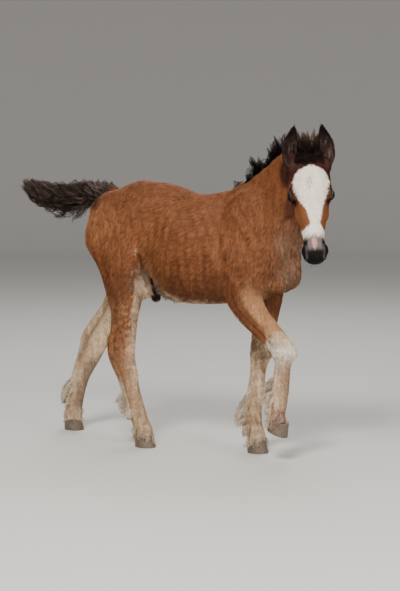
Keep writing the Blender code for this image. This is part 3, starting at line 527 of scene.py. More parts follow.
def near_features(points):
    """Where the face needs fine mesh: the lids, the nostrils and the lips."""
    x, y, z = in_head(points).T
    close = (x > 0.29) & (x < 0.4) & (np.abs(y) < 0.06) & (np.abs(z + 0.06) < 0.07)
    for side in (-1, 1):
        close |= lengths(from_eye(points, side)) < 0.034
    return close


def smooth_rows(piece, chosen):
    """Moves each chosen point half way to the middle of its neighbours."""
    points = points_of(piece.data)
    ends = rows_of(piece.data.edges, "vertices", 2, np.int32)
    total, count = np.zeros_like(points), np.zeros(len(points))
    for a, b in ((0, 1), (1, 0)):
        np.add.at(total, ends[:, a], points[ends[:, b]])
        np.add.at(count, ends[:, a], 1)
    middle = total / np.maximum(count, 1)[:, None]
    points[chosen] += 0.5 * (middle - points)[chosen]
    put_points(piece.data, points)


def mouth_gap(local):
    """How far above the line of the mouth a point lies, in the head's measure."""
    return local[:, 2] - np.interp(local[:, 0], MOUTH_X, MOUTH_Z)


def carve_face(points, normals):
    """Opens the lids over the eyes, sinks the nostrils and draws the line of the mouth."""
    local = in_head(points)
    turn = np.array(HEAD.to_3x3())
    for side in (-1, 1):
        eye = eye_measure(points, side)
        distance = lengths(eye)
        close = np.flatnonzero((distance < 0.04) & (eye[:, 2] > 0))
        inner, height = lid_opening(eye[close])
        reach = distance[close]
        edge = EYE_RADIUS + 0.0017 + 0.003 * fade(-0.001, -0.008, inner)
        hug = fade(-0.011, -0.006, inner)
        reach = reach * (1 - hug) + edge * hug
        crease = np.where(height > 0, 0.0016, 0.001) * bell(inner, -0.0068, 0.0013)
        second = np.where(height > 0, 0.0007, 0.0006) * bell(inner, -0.0105, 0.0016)
        reach = reach - crease - second
        sink = fade(-0.0002, 0.0009, inner)
        reach = reach * (1 - sink) + (EYE_RADIUS - 0.004) * sink
        centre = np.array(eye_centre(side))
        points[close] = centre + from_eye(points[close], side) * (reach / distance[close])[:, None]
        around = near_features(points) & (local[:, 0] > 0.31) & (local[:, 1] * side > 0.012)
        gap = nostril_reach(local[around], side)
        inward = turn @ np.array([-0.55, -0.8 * side, -0.1])
        hollow = 0.0125 * (1 - fade(0.35, 1.15, gap))
        rim = 0.0016 * bell(gap, 1.5, 0.42)
        points[around] += inward * hollow[:, None] + normals[around] * rim[:, None]
    front = near_features(points) & (local[:, 0] > 0.296)
    off = mouth_gap(local[front])
    start = fade(0.3, 0.316, local[front, 0])
    groove = -0.0032 * bell(off, 0, 0.0013) * start
    lips = 0.0013 * bell(np.abs(off), 0.005, 0.0036) * start
    points[front] += normals[front] * (groove + lips)[:, None]
    return points


# Furrows between the muscles of the trunk and neck, seen from the side, the same on both sides:
# points x and z, how wide and how deep. A depth below zero is a ridge.
FURROWS = millimetres([
    ([(366, 925), (395, 850), (420, 765)], 18, 6),
    ([(203, 880), (196, 790), (222, 710), (238, 640)], 20, 6.5),
    ([(255, 890), (310, 805), (366, 722)], 13, -3.5),
    ([(290, 880), (342, 795)], 11, 2.5),
    ([(372, 690), (338, 652), (300, 648)], 12, 5.5),
    ([(228, 705), (280, 668), (330, 676)], 12, 3),
    ([(232, 640), (246, 588)], 12, 6),
    ([(402, 700), (398, 640)], 10, 4),
    ([(530, 970), (475, 885), (430, 800)], 13, 7),
    ([(500, 1030), (430, 955), (375, 905)], 26, -3.5),
    ([(-56, 825), (-76, 765), (-92, 700)], 28, 8),
    ([(-106, 738), (-101, 690), (-94, 610)], 7.5, 8.5),
    ([(-85, 870), (-122, 800), (-142, 735)], 16, 4.5),
    ([(-294, 905), (-303, 825), (-288, 720), (-256, 640)], 11, 6),
    ([(-205, 895), (-232, 820), (-218, 740)], 14, 3),
    ([(-10, 880), (60, 868), (150, 880)], 14, 2),
])
for k in range(7):  # the hollows between the ribs
    line = [(x - 0.037 * k, z) for x, z in ((0.17, 0.845), (0.15, 0.75), (0.158, 0.67))]
    FURROWS.append((line, 0.0075, 0.0022))

# Furrows down the legs: heights from the ground, the place from the leg's middle to its front edge
# in thousandths of the way, the width and the depth.
HIND_FURROWS = millimetres([
    ((405, 470, 560), (-480, -460, -360), 11, 8),
    ((440, 520, 600), (180, 160, 100), 17, -3.5),
    ((440, 500, 570), (600, 620, 620), 8, 2.5),
    ((340, 360, 385), (-300, -350, -400), 10, 4),
    ((325, 350, 380), (300, 300, 250), 10, -2.5),
    ((140, 220, 310), (-220, -260, -340), 5, 4.2),
    ((150, 220, 300), (-600, -620, -640), 4, 2.2),
    ((110, 130, 150), (-500, -500, -500), 12, -3.5),
    ((70, 80, 95), (-500, -500, -500), 10, 3),
])
FORE_FURROWS = millimetres([
    ((450, 520, 590), (-50, -20, 50), 9, 4.5),
    ((450, 520, 580), (-520, -480, -420), 8, 3),
    ((440, 480, 550), (450, 420, 400), 12, -3),
    ((400, 420, 445), (-550, -550, -550), 12, 4),
    ((345, 370, 395), (-520, -520, -520), 8, 3),
    ((355, 370, 390), (100, 100, 100), 14, -3),
    ((160, 240, 330), (-150, -180, -220), 5, 4.5),
    ((165, 240, 320), (-580, -600, -620), 4, 2.4),
    ((120, 140, 155), (-500, -500, -500), 12, -3.5),
    ((70, 80, 95), (-500, -500, -500), 10, 3),
])
LIFTED_RISE = 0.034  # how much higher the joints of the lifted foreleg sit
# The face's own, in the head's measure: places along and out of the face.
FACE_FURROWS = millimetres([
    ([(160, -64), (200, -60), (240, -66)], 6.5, -2.2),
    ([(165, -78), (205, -75), (245, -78)], 7.5, 2.2),
    ([(185, -34), (240, -33), (300, -34)], 7.5, 2.6),
    ([(170, -44), (186, -50), (200, -56)], 3.5, 1.4),
    ([(190, -135), (176, -105), (150, -80)], 9, 2.2),
    ([(92, -20), (104, -26)], 11, 4.5),
    ([(322, -50), (314, -66)], 5, 1.8),
    ([(352, -88), (330, -90)], 5, 1.2),
])


def line_gap(flat, line):
    """Distance from points on a plane to a bent line."""
    gap = np.full(len(flat), 9.0)
    for a, b in zip(line[:-1], line[1:]):
        a, run = np.array(a), np.array(b) - np.array(a)
        share = np.clip(((flat - a) @ run) / (run @ run), 0, 1)
        gap = np.minimum(gap, lengths(flat - a - share[:, None] * run))
    return gap


def leg_measure(points):
    """The nearest leg of the four, and how a point lies to it.

    That is how far ahead of and beside the leg's middle it is, as shares, how far both together,
    and the leg's reach ahead there.
    """
    found = []
    for middles, reaches in LEGS:
        rows = [(z, x, y, ahead, width) for (x, y, z), (ahead, _, width) in zip(middles, reaches)]
        heights, *sizes = np.array(rows[::-1]).T
        middle_x, middle_y, ahead, width = (np.interp(points[:, 2], heights, size) for size in sizes)
        along, across = (points[:, 0] - middle_x) / ahead, (points[:, 1] - middle_y) / width
        found.append((along, across, np.hypot(along, across), ahead))
    found = np.array(found)
    which = found[:, 2].argmin(axis=0)
    return which, *found[which, :, np.arange(len(points))].T


def model_muscles(points, normals):
    """Presses the furrows in and raises the ridges."""
    x, y, z = points.T
    flank = fade(0.15, 0.5, np.abs(normals[:, 1])) * (1 - head_share(points))
    press = np.zeros(len(points))
    for line, width, depth in FURROWS:
        press += depth * bell(line_gap(points[:, [0, 2]], line), 0, width) * flank
    which, along, _, away, reach = leg_measure(points)
    for legs, furrows in (((0, 1), HIND_FURROWS), ((2, 3), FORE_FURROWS)):
        for heights, places, width, depth in furrows:
            for leg in legs:
                height = z - (LIFTED_RISE if leg == 2 else 0.0)
                gap = (along - np.interp(height, heights, places)) * reach
                span = fade(heights[0] - 0.025, heights[0] + 0.012, height)
                span *= fade(heights[-1] + 0.025, heights[-1] - 0.012, height)
                near = (which == leg) & (away < 1.6)
                press += depth * bell(gap, 0, width) * span * near * fade(0.2, 0.6, np.abs(normals[:, 1]))
    for leg, knee in ((2, 0.398), (3, 0.366)):
        front = (which == leg) & (away < 1.6)
        for height, size, depth in ((0.026, 0.01, -0.0035), (0.006, 0.0035, 0.0022), (-0.012, 0.008, -0.0022)):
            press += depth * bell(z - knee, height, size) * front * fade(-0.3, 0.3, along)
    local = in_head(points)
    head = head_share(points) * fade(0.012, 0.022, np.abs(local[:, 1]))
    for line, width, depth in FACE_FURROWS:
        press += depth * bell(line_gap(local[:, [0, 2]], line), 0, width) * head
    press += 0.007 * bell(np.abs(y), 0, 0.01) * fade(0.4, 0.43, x) * fade(0.76, 0.7, z) * (z > 0.5)
    return points - normals * press[:, None]


# The free edge of the flank's fold, from the stifle down to the belly: places x and their heights.
FOLD_X = [-0.13, -0.11, -0.087, -0.062, -0.048, -0.03, -0.01]
FOLD_Z = [0.727, 0.684, 0.647, 0.61, 0.58, 0.556, 0.53]


def tuck_flank(points):
    """Draws the belly in behind the fold of the flank, so that the sheath hangs free in the groin."""
    x, y, z = points.T
    thigh = np.interp(z, [0.53, 0.56, 0.6, 0.64, 0.7], [-0.106, -0.116, -0.134, -0.136, -0.126])
    thigh -= 0.036 * fade(0.085, 0.055, np.abs(y))
    under = fade(0.0, 0.014, np.interp(x, FOLD_X, FOLD_Z) - z) * fade(-0.006, 0.008, x - thigh)
    under = under * fade(-0.012, -0.03, x) * (z > 0.5) * (np.abs(y) > 0.014)
    points[:, 1] = y * (1 - under) + np.sign(y) * (0.014 + 0.1 * (np.abs(y) - 0.014)) * under
    return points


def build_skin():
    body = piece_from("body", trunk_forms() + leg_forms())
    melt(body, BODY_VOXEL)
    smooth(body, 3)
    smooth(body, 70, lambda p: min(1, max(0, (p.z - 0.5) / 0.12)))
    put_points(body.data, tuck_flank(points_of(body.data)))
    smooth(body, 2)
    head = piece_from("face", head_forms() + [flesh(NECK, CREST, 28)])
    melt(head, SKIN_VOXEL)
    smooth(head, 8)
    whole = piece_from("skin", [form_of(body), form_of(head), sheath_form(), dock_form()])
    melt(whole, SKIN_VOXEL)
    smooth(whole, 4)
    points = points_of(whole.data)
    put_points(whole.data, points - normals_of(whole.data) * coat_depth(points)[:, None])
    put_points(whole.data, model_muscles(points_of(whole.data), normals_of(whole.data)))
    thin_out(whole, SKIN_FACES)
    refine(whole, FACE_EDGE, near_features)
    for _ in range(3):
        smooth_rows(whole, near_features(points_of(whole.data)))
    put_points(whole.data, carve_face(points_of(whole.data), normals_of(whole.data)))
    smooth_rows(whole, near_features(points_of(whole.data)))
    whole.data.shade_smooth()
    return whole


skin = build_skin()

# The markings: a bay coat with a broad blaze, dark muzzle, milky belly and lower legs, with some painted
# light and shade laid in. Skin and coat both take their colour from these formulas, so the two agree
# wherever hair grows; the skin is painted darker, as shade between the hairs.

def light(red, green, blue):
    """A colour named in steps of 255, as the amounts of light that it stands for."""
    steps = np.array([red, green, blue]) / 255
    return np.where(steps <= 0.04045, steps / 12.92, ((steps + 0.055) / 1.055) ** 2.4)


BAY = light(121, 74, 44)
# tone for the top of the back, which stands for the light falling there from above: painted light
BAY_TOP = light(116, 70, 42)
BAY_DARK = light(74, 40, 25)
BREAST = light(126, 100, 80)
CREAM = light(210, 183, 150)
SMOKE = light(126, 102, 84)
LEG_GREY = light(168, 138, 108)
LEG_BROWN = light(132, 92, 62)
BLAZE = light(244, 232, 216)
BLACK = light(32, 26, 25)
MUZZLE = light(5, 4, 4)
MUZZLE_TOP = light(128, 117, 112)
PINK = light(196, 146, 138)
POLL_BROWN = light(58, 30, 24)
MANE_BROWN = light(46, 33, 29)

BLAZE_X = [0.055, 0.062, 0.069, 0.085, 0.1, 0.13, 0.17, 0.206, 0.25, 0.262, 0.276, 0.312]
BLAZE_RIGHT = [0.0, 0.02, 0.038, 0.055, 0.062, 0.06, 0.043, 0.02, 0.011, 0.018, 0.052, 0.06]
BLAZE_LEFT = [0.0, 0.022, 0.044, 0.06, 0.066, 0.058, 0.044, 0.031, 0.022, 0.024, 0.044, 0.052]


def tint(colour, *layers):
    """A colour, or a row of them, with others laid over it: each layer is a colour and its shares."""
    for other, share in layers:
        colour = colour + (other - colour) * share[:, None]
    return colour


def ear_collar(points):
    """How dark the hair is round the root of each ear."""
    x, y, z = in_head(points).T
    below = fade(0.068, 0.042, np.sqrt((x - 0.046) ** 2 + (np.abs(y) - 0.06) ** 2 + (z + 0.05) ** 2))
    above = fade(0.052, 0.036, np.sqrt(((x - 0.01) / 1.5) ** 2 + (np.abs(y) - 0.05) ** 2 + (z + 0.022) ** 2))
    return np.maximum(below, above)


def face_colours(points, colour):
    """Blaze, dark muzzle with a pink snip and painted highlights on the nostril rims, dark skin at the lids, and
    painted shade under the jaw.
    """
    local = in_head(points)
    x, y, z = local.T
    fine = ripple(points, 0.011, 41) * 0.0022 + ripple(points, 0.004, 42) * 0.0012
    socket = np.hypot((x - 0.15) / 0.042, (np.abs(y) - 0.066) / 0.022)
    edge = np.where(y > 0, np.interp(x, BLAZE_X, BLAZE_LEFT), np.interp(x, BLAZE_X, BLAZE_RIGHT))
    white = fade(-0.0025, 0.0025, edge - np.abs(y) + fine) * fade(0.054, 0.06, x + fine)
    white *= fade(-0.062, -0.05, z) * fade(0.328, 0.306, x + 3 * fine)
    whorl = bell(np.hypot((x - 0.112) / 0.016, (y + 0.006) / 0.01), 0, 1)
    whorl += 0.6 * np.exp(-(((x - 0.13) / 0.018) ** 2) - ((y + 0.003 + 0.3 * (x - 0.12)) / 0.0022) ** 2)
    grey = np.clip(whorl * (0.5 + 0.9 * ripple(points, 0.006, 43)), 0, 0.7)
    side_patch = np.hypot((x - 0.263) / 0.02, (z + 0.068) / 0.012)
    dark = fade(0.283, 0.312, x + fine * 2 + 0.1 * np.clip(-z - 0.05, 0, 0.1))
    dark = np.maximum(dark, fade(0.022, 0.012, np.hypot(x - 0.334, np.abs(y) - 0.034)))
    top = fade(-0.046, -0.028, z) * fade(0.356, 0.336, x) * fade(0.029, 0.02, np.abs(y))
    snip = np.hypot((x - 0.327) / 0.024, (y + 0.001) / (0.0095 - 0.16 * np.clip(x - 0.322, 0, 0.03))) + fine * 90
    lips = fade(0.0075, 0.003, np.abs(mouth_gap(local))) * fade(0.302, 0.32, x)
    colour = tint(
        colour,
        # painted shade under the jaw
        (BAY_DARK, fade(-0.07, -0.12, z) * 0.35),
        (POLL_BROWN, fade(-0.075, -0.045, z) * fade(0.088, 0.062, x - 0.1 * np.abs(y) + fine)),
        (light(78, 44, 32), 0.75 * fade(1.2, 0.5, socket)),
        (BLAZE, white),
        (light(112, 100, 94), grey * white),
        (CREAM, fade(1.15, 0.7, side_patch + fine * 60) * (y < 0)),
        (tint(MUZZLE, (MUZZLE_TOP, top * 0.8)), dark),
        (PINK, fade(1.15, 0.75, snip) * fade(-0.05, -0.035, z)),
        (light(70, 60, 60), lips * 0.7),
    )
    for side in (-1, 1):
        inner = lid_opening(eye_measure(points, side))[0]
        close = lengths(from_eye(points, side)) < 0.038
        gap = nostril_reach(local, side)
        # painted highlight: pale grey on the rim of each nostril, where it catches the light
        rim = bell(gap, 1.65, 0.35) * fade(0.036, 0.026, np.abs(y)) * (y * side > 0.01)
        colour = tint(
            colour,
            (light(24, 17, 16), fade(-0.0085, -0.0045, inner + fine) * close),
            (light(120, 110, 108), 0.7 * rim),
            (light(8, 6, 6), fade(1.25, 0.8, gap) * (y * side > 0.01)),
        )
    return colour


def leg_colours(points, colour, broad, fine, curls):
    """The pale lower legs: how high they reach, and the grey, brown and smoke washed over them, with painted
    shade on the far hind leg and painted light on the near forearm.
    """
    z = points[:, 2]
    which, along, across, away = leg_measure(points)[:4]
    near_hind, far_hind, near_fore = which == 0, which == 1, which == 2
    on_leg = fade(1.9, 1.3, away)
    inner_side = np.where(which % 2 == 0, across, -across)
    # Brown comes down the back of the hind legs to the hock and the forelegs to the top of the knee.
    wavy = along + 0.22 * curls + 0.16 * fine
    near_x = [-1, -0.3, 0.2, 0.5, 0.68, 0.8, 0.92, 1]
    near_top = [0.33, 0.335, 0.35, 0.385, 0.45, 0.53, 0.59, 0.615]
    tops = [
        np.interp(wavy, near_x, near_top),
        0.455 + 0.1 * along + 0.2 * np.clip(inner_side, 0, 1) + 0.2 * fade(-0.3, -0.8, along),
        np.interp(along, [-1, 0, 0.6, 1], [0.408, 0.428, 0.452, 0.47]),
        np.full(len(z), 0.45),
    ]
    soft = np.array([0.075, 0.045, 0.026, 0.026])[which]
    rise = np.choose(which, tops) - z + 0.012 * fine + 0.01 * broad + 0.008 * curls
    pale = fade(0, 1, rise / soft + 0.5) * on_leg * (z < 0.66)
    gaskin = near_hind * on_leg * fade(0.62, 0.5, z) * np.clip(0.35 + 0.6 * curls + 0.4 * fine, 0, 0.7)
    # a tan band on the front of the near forearm, painted lighter as the light falling on it
    lit_tan = fade(-0.15, 0.45, along) * fade(0.43, 0.47, z) * fade(0.66, 0.56, z) * near_fore * on_leg
    greyness = np.array([0.8, 0.1, 0.45, 0.45])[which] + 0.5 * broad + 0.3 * fine
    smokiness = np.array([0.2, 0.06, 0.2, 0.5])[which]
    wash = fade(0.13, 0.33, z) * fade(1.05, 0.1, along) * np.array([0.85, 0.12, 0, 0])[which]
    streaks = ripple(points * np.array([1, 1, 0.4]), 0.03, 36) + 0.5 * curls
    wash += 0.45 * fade(0.25, 0.9, streaks) * fade(0.35, -0.6, along) * (which < 2)
    # painted shade on the far hind leg: a band down the back and a patch on the front of the cannon
    painted_shade = bell(along, -0.38, 0.22) * fade(0.28, 0.36, z) * fade(0.62, 0.52, z)
    painted_shade += fade(0.0, 0.7, along) * fade(0.33, 0.27, z) * fade(0.06, 0.12, z)
    leg_tone = tint(
        CREAM,
        (LEG_GREY, np.clip(greyness, 0, 1)),
        (SMOKE, smokiness * np.clip(0.55 + 0.8 * fine, 0, 1)),
        (LEG_BROWN, np.clip(wash, 0, 0.9)),
        (SMOKE, 0.8 * np.clip(painted_shade, 0, 1) * far_hind),
        (light(140, 110, 92), 0.55 * (fade(-0.1, 0.7, along) * fade(0.37, 0.33, z)) * near_fore),
        (light(228, 216, 200), 0.85 * (bell(z, 0.392, 0.036) * near_fore)),
        (light(222, 204, 180), 0.8 * (fade(-0.2, -0.8, along) * fade(0.26, 0.22, z) * fade(0.09, 0.13, z))),
    )
    return tint(
        colour,
        (light(150, 108, 76), gaskin),
        (light(176, 130, 92), 0.8 * lit_tan),
        (leg_tone, pale),
        (light(132, 92, 80), 0.65 * (fade(0.21, 0.17, z) * near_fore * fade(-0.8, 0.4, along))),
    )


def markings(points):
    """The colour of skin and hair at each point, with painted light and shade in it."""
    x, y, z = points.T
    broad, fine, curls = (ripple(points, span, seed) for span, seed in ((0.12, 31), (0.022, 32), (0.013, 35)))
    head = head_share(points)
    front = fade(0.385, 0.475, x + 0.016 * fine + 0.02 * broad) * fade(0.9, 0.74, z)
    rump = fade(-0.2, -0.32, x) * fade(0.7, 0.8, z) * fade(0.93, 0.88, z)
    streaks = ripple(points * np.array([1, 1, 0.35]), 0.035, 34) * fade(-0.13, -0.05, x) * fade(0.34, 0.26, x)
    underside = np.interp(x, [-0.14, -0.04, 0.03, 0.16, 0.3, 0.36], [0.625, 0.582, 0.548, 0.54, 0.53, 0.49])
    belly = fade(0.016, -0.014, z - underside + 0.01 * fine + 0.006 * curls) * (np.abs(y) < 0.12)
    belly = belly * fade(0.36, 0.26, x) * fade(-0.21, -0.17, x) * fade(0.47, 0.5, z)
    thigh = np.hypot((x + 0.12 + 0.04 * (z - 0.64)) / 0.025, (z - 0.622) / 0.056)
    fold = np.interp(x, FOLD_X, FOLD_Z) - z
    hem = bell(fold, -0.004, 0.009) * fade(-0.01, -0.03, x) * (x > -0.135) * (np.abs(y) > 0.04)
    groin = fade(0.004, 0.014, fold) * fade(-0.2, -0.16, x) * fade(-0.01, -0.04, x)
    groin = groin * (z > 0.5) * (np.abs(y) < 0.07)
    colour = tint(
        BAY,
        # painted light: the top of the back takes its own tone for the light falling on it
        (BAY_TOP, fade(0.82, 0.95, z + 0.03 * broad)),
        # painted shade: the lower barrel darkened where it turns under
        (BAY_DARK, 0.4 * fade(0.74, 0.6, z + 0.02 * broad) * fade(0.44, 0.52, z)),
        (BREAST, 0.8 * front * (1 - head)),
        (light(150, 98, 64), 0.7 * rump * (1 - head)),
        (BAY_DARK, 0.4 * np.clip(streaks, 0, 1) * fade(0.9, 0.82, z)),
        (BAY_DARK, 0.35 * np.clip(broad + 0.2, 0, 1) * fade(-0.12, -0.22, x) * fade(0.8, 0.66, z)),
        # the milky belly, its cream painted duller than its own colour as shade under the belly
        (light(186, 160, 132), belly),
        (light(184, 162, 140), 0.9 * fade(1.3, 0.55, thigh + 0.18 * fine + 0.1 * curls)),
        (light(192, 156, 124), 0.85 * hem),
        (light(150, 126, 106), 0.9 * groin),
    )
    sheath = fade(0.04, 0.03, np.hypot(x + 0.135 + 0.28 * (z - 0.59), y))
    colour = tint(
        leg_colours(points, colour, broad, fine, curls),
        (BLACK, sheath * fade(0.65, 0.63, z) * fade(0.5, 0.52, z)),
        (MANE_BROWN, fade(-0.3, -0.32, x) * fade(0.86, 0.9, z) * 0.8),
        (POLL_BROWN, ear_collar(points)),
    )
    return tint(colour, (face_colours(points, colour), head))


def paint(piece, colour):
    """Stores a colour for each point under the name that the coat's materials read."""
    layer = piece.data.attributes.new("coat", "FLOAT_COLOR", "POINT")
    rows = np.ones((len(colour), 4), np.float32)
    rows[:, :3] = np.clip(colour, 0, 1)
    layer.data.foreach_set("color", rows.ravel())


def set_inputs(tree, node, inputs):
    """Gives each input a plain value, or links it to the output of another node."""
    for name, value in inputs.items():
        if isinstance(value, bpy.types.NodeSocket):
            tree.links.new(value, node.inputs[name])
        else:
            node.inputs[name].default_value = value


def add_node(tree, kind, inputs, operation=None):
    """Adds a node and gives what comes out of it first."""
    node = tree.nodes.new("ShaderNode" + kind)
    if operation:
        node.operation = operation
    set_inputs(tree, node, inputs)
    return node.outputs[0]


def stored(tree, name):
    """What is stored under this name at the piece's points."""
    node = tree.nodes.new("ShaderNodeAttribute")
    node.attribute_name = name
    return node


def ramp(tree, share, *stops):
    """Colours along a share from 0 to 1: each stop is its place and its colour."""
    node = tree.nodes.new("ShaderNodeValToRGB")
    tree.links.new(share, node.inputs["Fac"])
    for _ in stops[2:]:
        node.color_ramp.elements.new(0.5)
    for element, (place, colour) in zip(node.color_ramp.elements, stops):
        element.position = place
        element.color = (*colour, 1)
    return node.outputs["Color"]


def start_material(name, inputs):
    """A material whose shader has these inputs so far."""
    material = bpy.data.materials.new(name)
    material.use_nodes = True
    finish_shader(material, inputs)
    return material


def finish_shader(material, inputs):
    set_inputs(material.node_tree, material.node_tree.nodes["Principled BSDF"], inputs)


def grain(tree, scale, detail):
    """A noise over the piece's own place in space."""
    place = tree.nodes.new("ShaderNodeTexCoord").outputs["Object"]
    return add_node(tree, "TexNoise", {"Vector": place, "Scale": scale, "Detail": detail})


def rough_up(material, noise, depth):
    """Lets a noise raise the surface by up to this depth."""
    bump = add_node(material.node_tree, "Bump", {"Strength": 0.5, "Distance": depth, "Height": noise})
    finish_shader(material, {"Normal": bump})


def coat_material(name, low, high, roughness):
    """Hair: the painted colour, from a darker to a lighter tone of it, with a soft sheen."""
    material = start_material(name, {"Roughness": roughness, "Specular IOR Level": 0.14})
    tree = material.node_tree
    tone = add_node(tree, "MapRange", {"Value": grain(tree, 900, 2.0), "To Min": low, "To Max": high})
    scaled = add_node(tree, "VectorMath", {0: stored(tree, "coat").outputs["Color"], "Scale": tone}, "SCALE")
    finish_shader(material, {"Base Color": scaled})
    return material


def settle(piece, slot, *nodes):
    """Moves a finished piece to the frame's place, hangs it on the body and hides the parts that it stands for;
    slot is not used.
    """
    piece.data.transform(Matrix.Translation(HOME))
    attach(piece, "root")
    if nodes:
        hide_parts(*nodes)
    return piece


short_fur = coat_material("skin", 0.8, 1.15, 0.62)
rough_up(short_fur, grain(short_fur.node_tree, 1400, 3.0), 0.0006)
skin_points, skin_normals = points_of(skin.data), normals_of(skin.data)
# the skin takes the markings darker, as painted shade in the gaps between the wisps
paint(skin, markings(skin_points) * 0.78)
skin.data.materials.append(short_fur)
settle(
    skin, "bay_coat", "torso", "neck", "head",
    "foreleg_left_upper", "foreleg_left_lower", "foreleg_right_upper", "foreleg_right_lower",
    "hindleg_left_upper", "hindleg_left_lower", "hindleg_right_upper", "hindleg_right_lower",
)

# Eyes.
# Each is a wet ball set deep behind its lids: a brown iris with a long level pupil under a clear
# cover, and a little dark white at the corners. The lids of the skin hold it.

IRIS_REACH = 0.0118
PUPIL_LENGTH = 0.0066
PUPIL_HEIGHT = 0.0034


def placed(name, points, faces, place, measure, material):
    """A smooth piece set in its place, which keeps its points' own measure for its material."""
    piece = piece_from(name, [([place @ p for p in points], faces)])
    layer = piece.data.attributes.new(measure, "FLOAT_VECTOR", "POINT")
    layer.data.foreach_set("vector", np.array([tuple(p) for p in points], np.float32).ravel())
    piece.data.shade_smooth()
    piece.data.materials.append(material)
    return piece


def eye_ball(name, side):
    """A ball with the clear cover's bulge in front; its gaze is kept for the material."""
    rings, ring = 40, 48
    points = ball(rings, ring, lambda polar: EYE_RADIUS - 0.0004 + 0.0012 * bell(polar, 0, 0.55))
    place = Matrix.Translation(eye_centre(side)) @ eye_frame(side).to_4x4()
    return placed(name, points, ring_faces(rings, ring), place, "gaze", wet_eye)


def eye_material():
    material = start_material("wet_eye", {
        "Roughness": 0.1, "Specular IOR Level": 0.12, "Coat Weight": 0.15, "Coat Roughness": 0.03, "IOR": 1.34,
    })
    tree = material.node_tree
    parts = tree.nodes.new("ShaderNodeSeparateXYZ")
    tree.links.new(stored(tree, "gaze").outputs["Vector"], parts.inputs["Vector"])

    def oval(length, height):
        """The square of how far out a place is, 1 on the edge of the oval of this size."""
        squares = {}
        for i, (axis, size) in enumerate((("X", length), ("Y", height))):
            share = add_node(tree, "Math", {0: parts.outputs[axis], 1: size}, "DIVIDE")
            squares[i] = add_node(tree, "Math", {0: share, 1: 2.0}, "POWER")
        return add_node(tree, "Math", squares, "ADD")

    brown = (0.0, light(52, 30, 20)), (0.8, light(30, 18, 13)), (1.0, light(14, 10, 9))
    iris = ramp(tree, oval(IRIS_REACH, IRIS_REACH), *brown)
    pupil = ramp(tree, oval(PUPIL_LENGTH, PUPIL_HEIGHT), (0.82, (0.02, 0.02, 0.02)), (1.0, (1, 1, 1)))
    finish_shader(material, {"Base Color": add_node(tree, "VectorMath", {0: iris, 1: pupil}, "MULTIPLY")})
    return material


wet_eye = eye_material()
for side, name in ((-1, "eye_right"), (1, "eye_left")):
    settle(eye_ball(name + "_ball", side), "eye", name)

# Hooves.
# A foal's hoof is a small upright capsule of horn that grows down from the coronet in fine rings,
# with a cupped sole and frog beneath. Each is set under its leg, the lifted one tipped toe down.

HOOF_LENGTH = 0.08
HOOF_WIDTH = 0.07
HOOF_TOE_HEIGHT = 0.05
HOOF_HEEL_HEIGHT = 0.03
HOOF_TOP_SHARE = 0.86
HOOF_SLANT = 0.007


def hoof(name, leg_rows, tilt):
    """A cupped sole, then the wall from the ground up in growth rings and a soft band at the top."""
    ring, levels = 64, 26
    rows = []
    for inset, rise in ((0.18, 0.0065), (0.5, 0.0055), (0.84, 0.0022), (0.9, 0.0002)):
        sole = []
        for _, c, s in circle(ring):
            frog = 0.005 * bell(s, 0, 0.25) * (c < 0.1) * (inset < 0.88)
            x, y = 0.5 * HOOF_LENGTH * inset * c, 0.5 * HOOF_WIDTH * inset * s
            sole.append(Vector((x, y, max(0.0002, rise - frog))))
        rows.append(sole)
    for level in range(levels):
        share = level / (levels - 1)
        grow = 1 + (HOOF_TOP_SHARE - 1) * share - 0.012 * fade(0.06, 0.0, share)
        grow += 0.0035 * math.sin(share * 46) * (1 - share) + 0.022 * bell(share, 0.93, 0.06)
        wall = []
        for angle, c, s in circle(ring):
            height = (HOOF_TOE_HEIGHT + HOOF_HEEL_HEIGHT) / 2 + c * (HOOF_TOE_HEIGHT - HOOF_HEEL_HEIGHT) / 2
            cleft = 1 - 0.1 * bell(angle, math.pi, 0.22) * (1 - share)
            along = 0.5 * HOOF_LENGTH * grow * c * cleft - HOOF_SLANT * share
            wall.append(Vector((along, 0.5 * HOOF_WIDTH * grow * s, share * height)))
        rows.append(wall)
    crown = [Vector((p.x * 0.9 - 0.0007, p.y * 0.9, p.z - 0.001)) for p in rows[-1]]
    points = [p for row in [*rows, crown] for p in row] + [Vector((0, 0, 0.0065)), sum(crown, Vector()) / ring]
    x, y, z = leg_rows[-1]
    place = Matrix.Translation((x, y, z - HOOF_HEEL_HEIGHT)) @ Matrix.Rotation(tilt, 4, "Y")
    return placed(name, points, ring_faces(len(rows) + 1, ring), place, "growth", horn)


def horn_material():
    """Dark horn, streaked downward; its rings are in the hoof's shape."""
    material = start_material("horn", {"Roughness": 0.48})
    tree = material.node_tree
    growth = stored(tree, "growth").outputs["Vector"]
    stretched = add_node(tree, "Mapping", {"Vector": growth, "Scale": (1.0, 1.0, 0.06)})
    streaks = add_node(tree, "TexNoise", {"Vector": stretched, "Scale": 420, "Detail": 4})
    colour = ramp(tree, streaks, (0.3, light(66, 56, 48)), (0.75, light(128, 110, 92)))
    finish_shader(material, {"Base Color": colour})
    rough_up(material, streaks, 0.0005)
    return material


horn = horn_material()
for name, leg_rows, tilt in (
    ("forehoof_right", RIGHT_FORE, 0.35),
    ("forehoof_left", LEFT_FORE, 0.0),
    ("hindhoof_right", RIGHT_HIND, 0.0),
    ("hindhoof_left", LEFT_HIND, 0.0),
):
    settle(hoof(name + "_horn", leg_rows, tilt), "horn", name)

# Coat.
# A foal's first coat is short, soft and a little woolly. It grows in small wisps that lie back and
# down over one another, shortest on the face and cannons and tousled over the croup and flank.

WISP_LENGTH_TRUNK = 0.02
WISP_LENGTH_LEG = 0.012
WISP_LENGTH_FACE = 0.0075
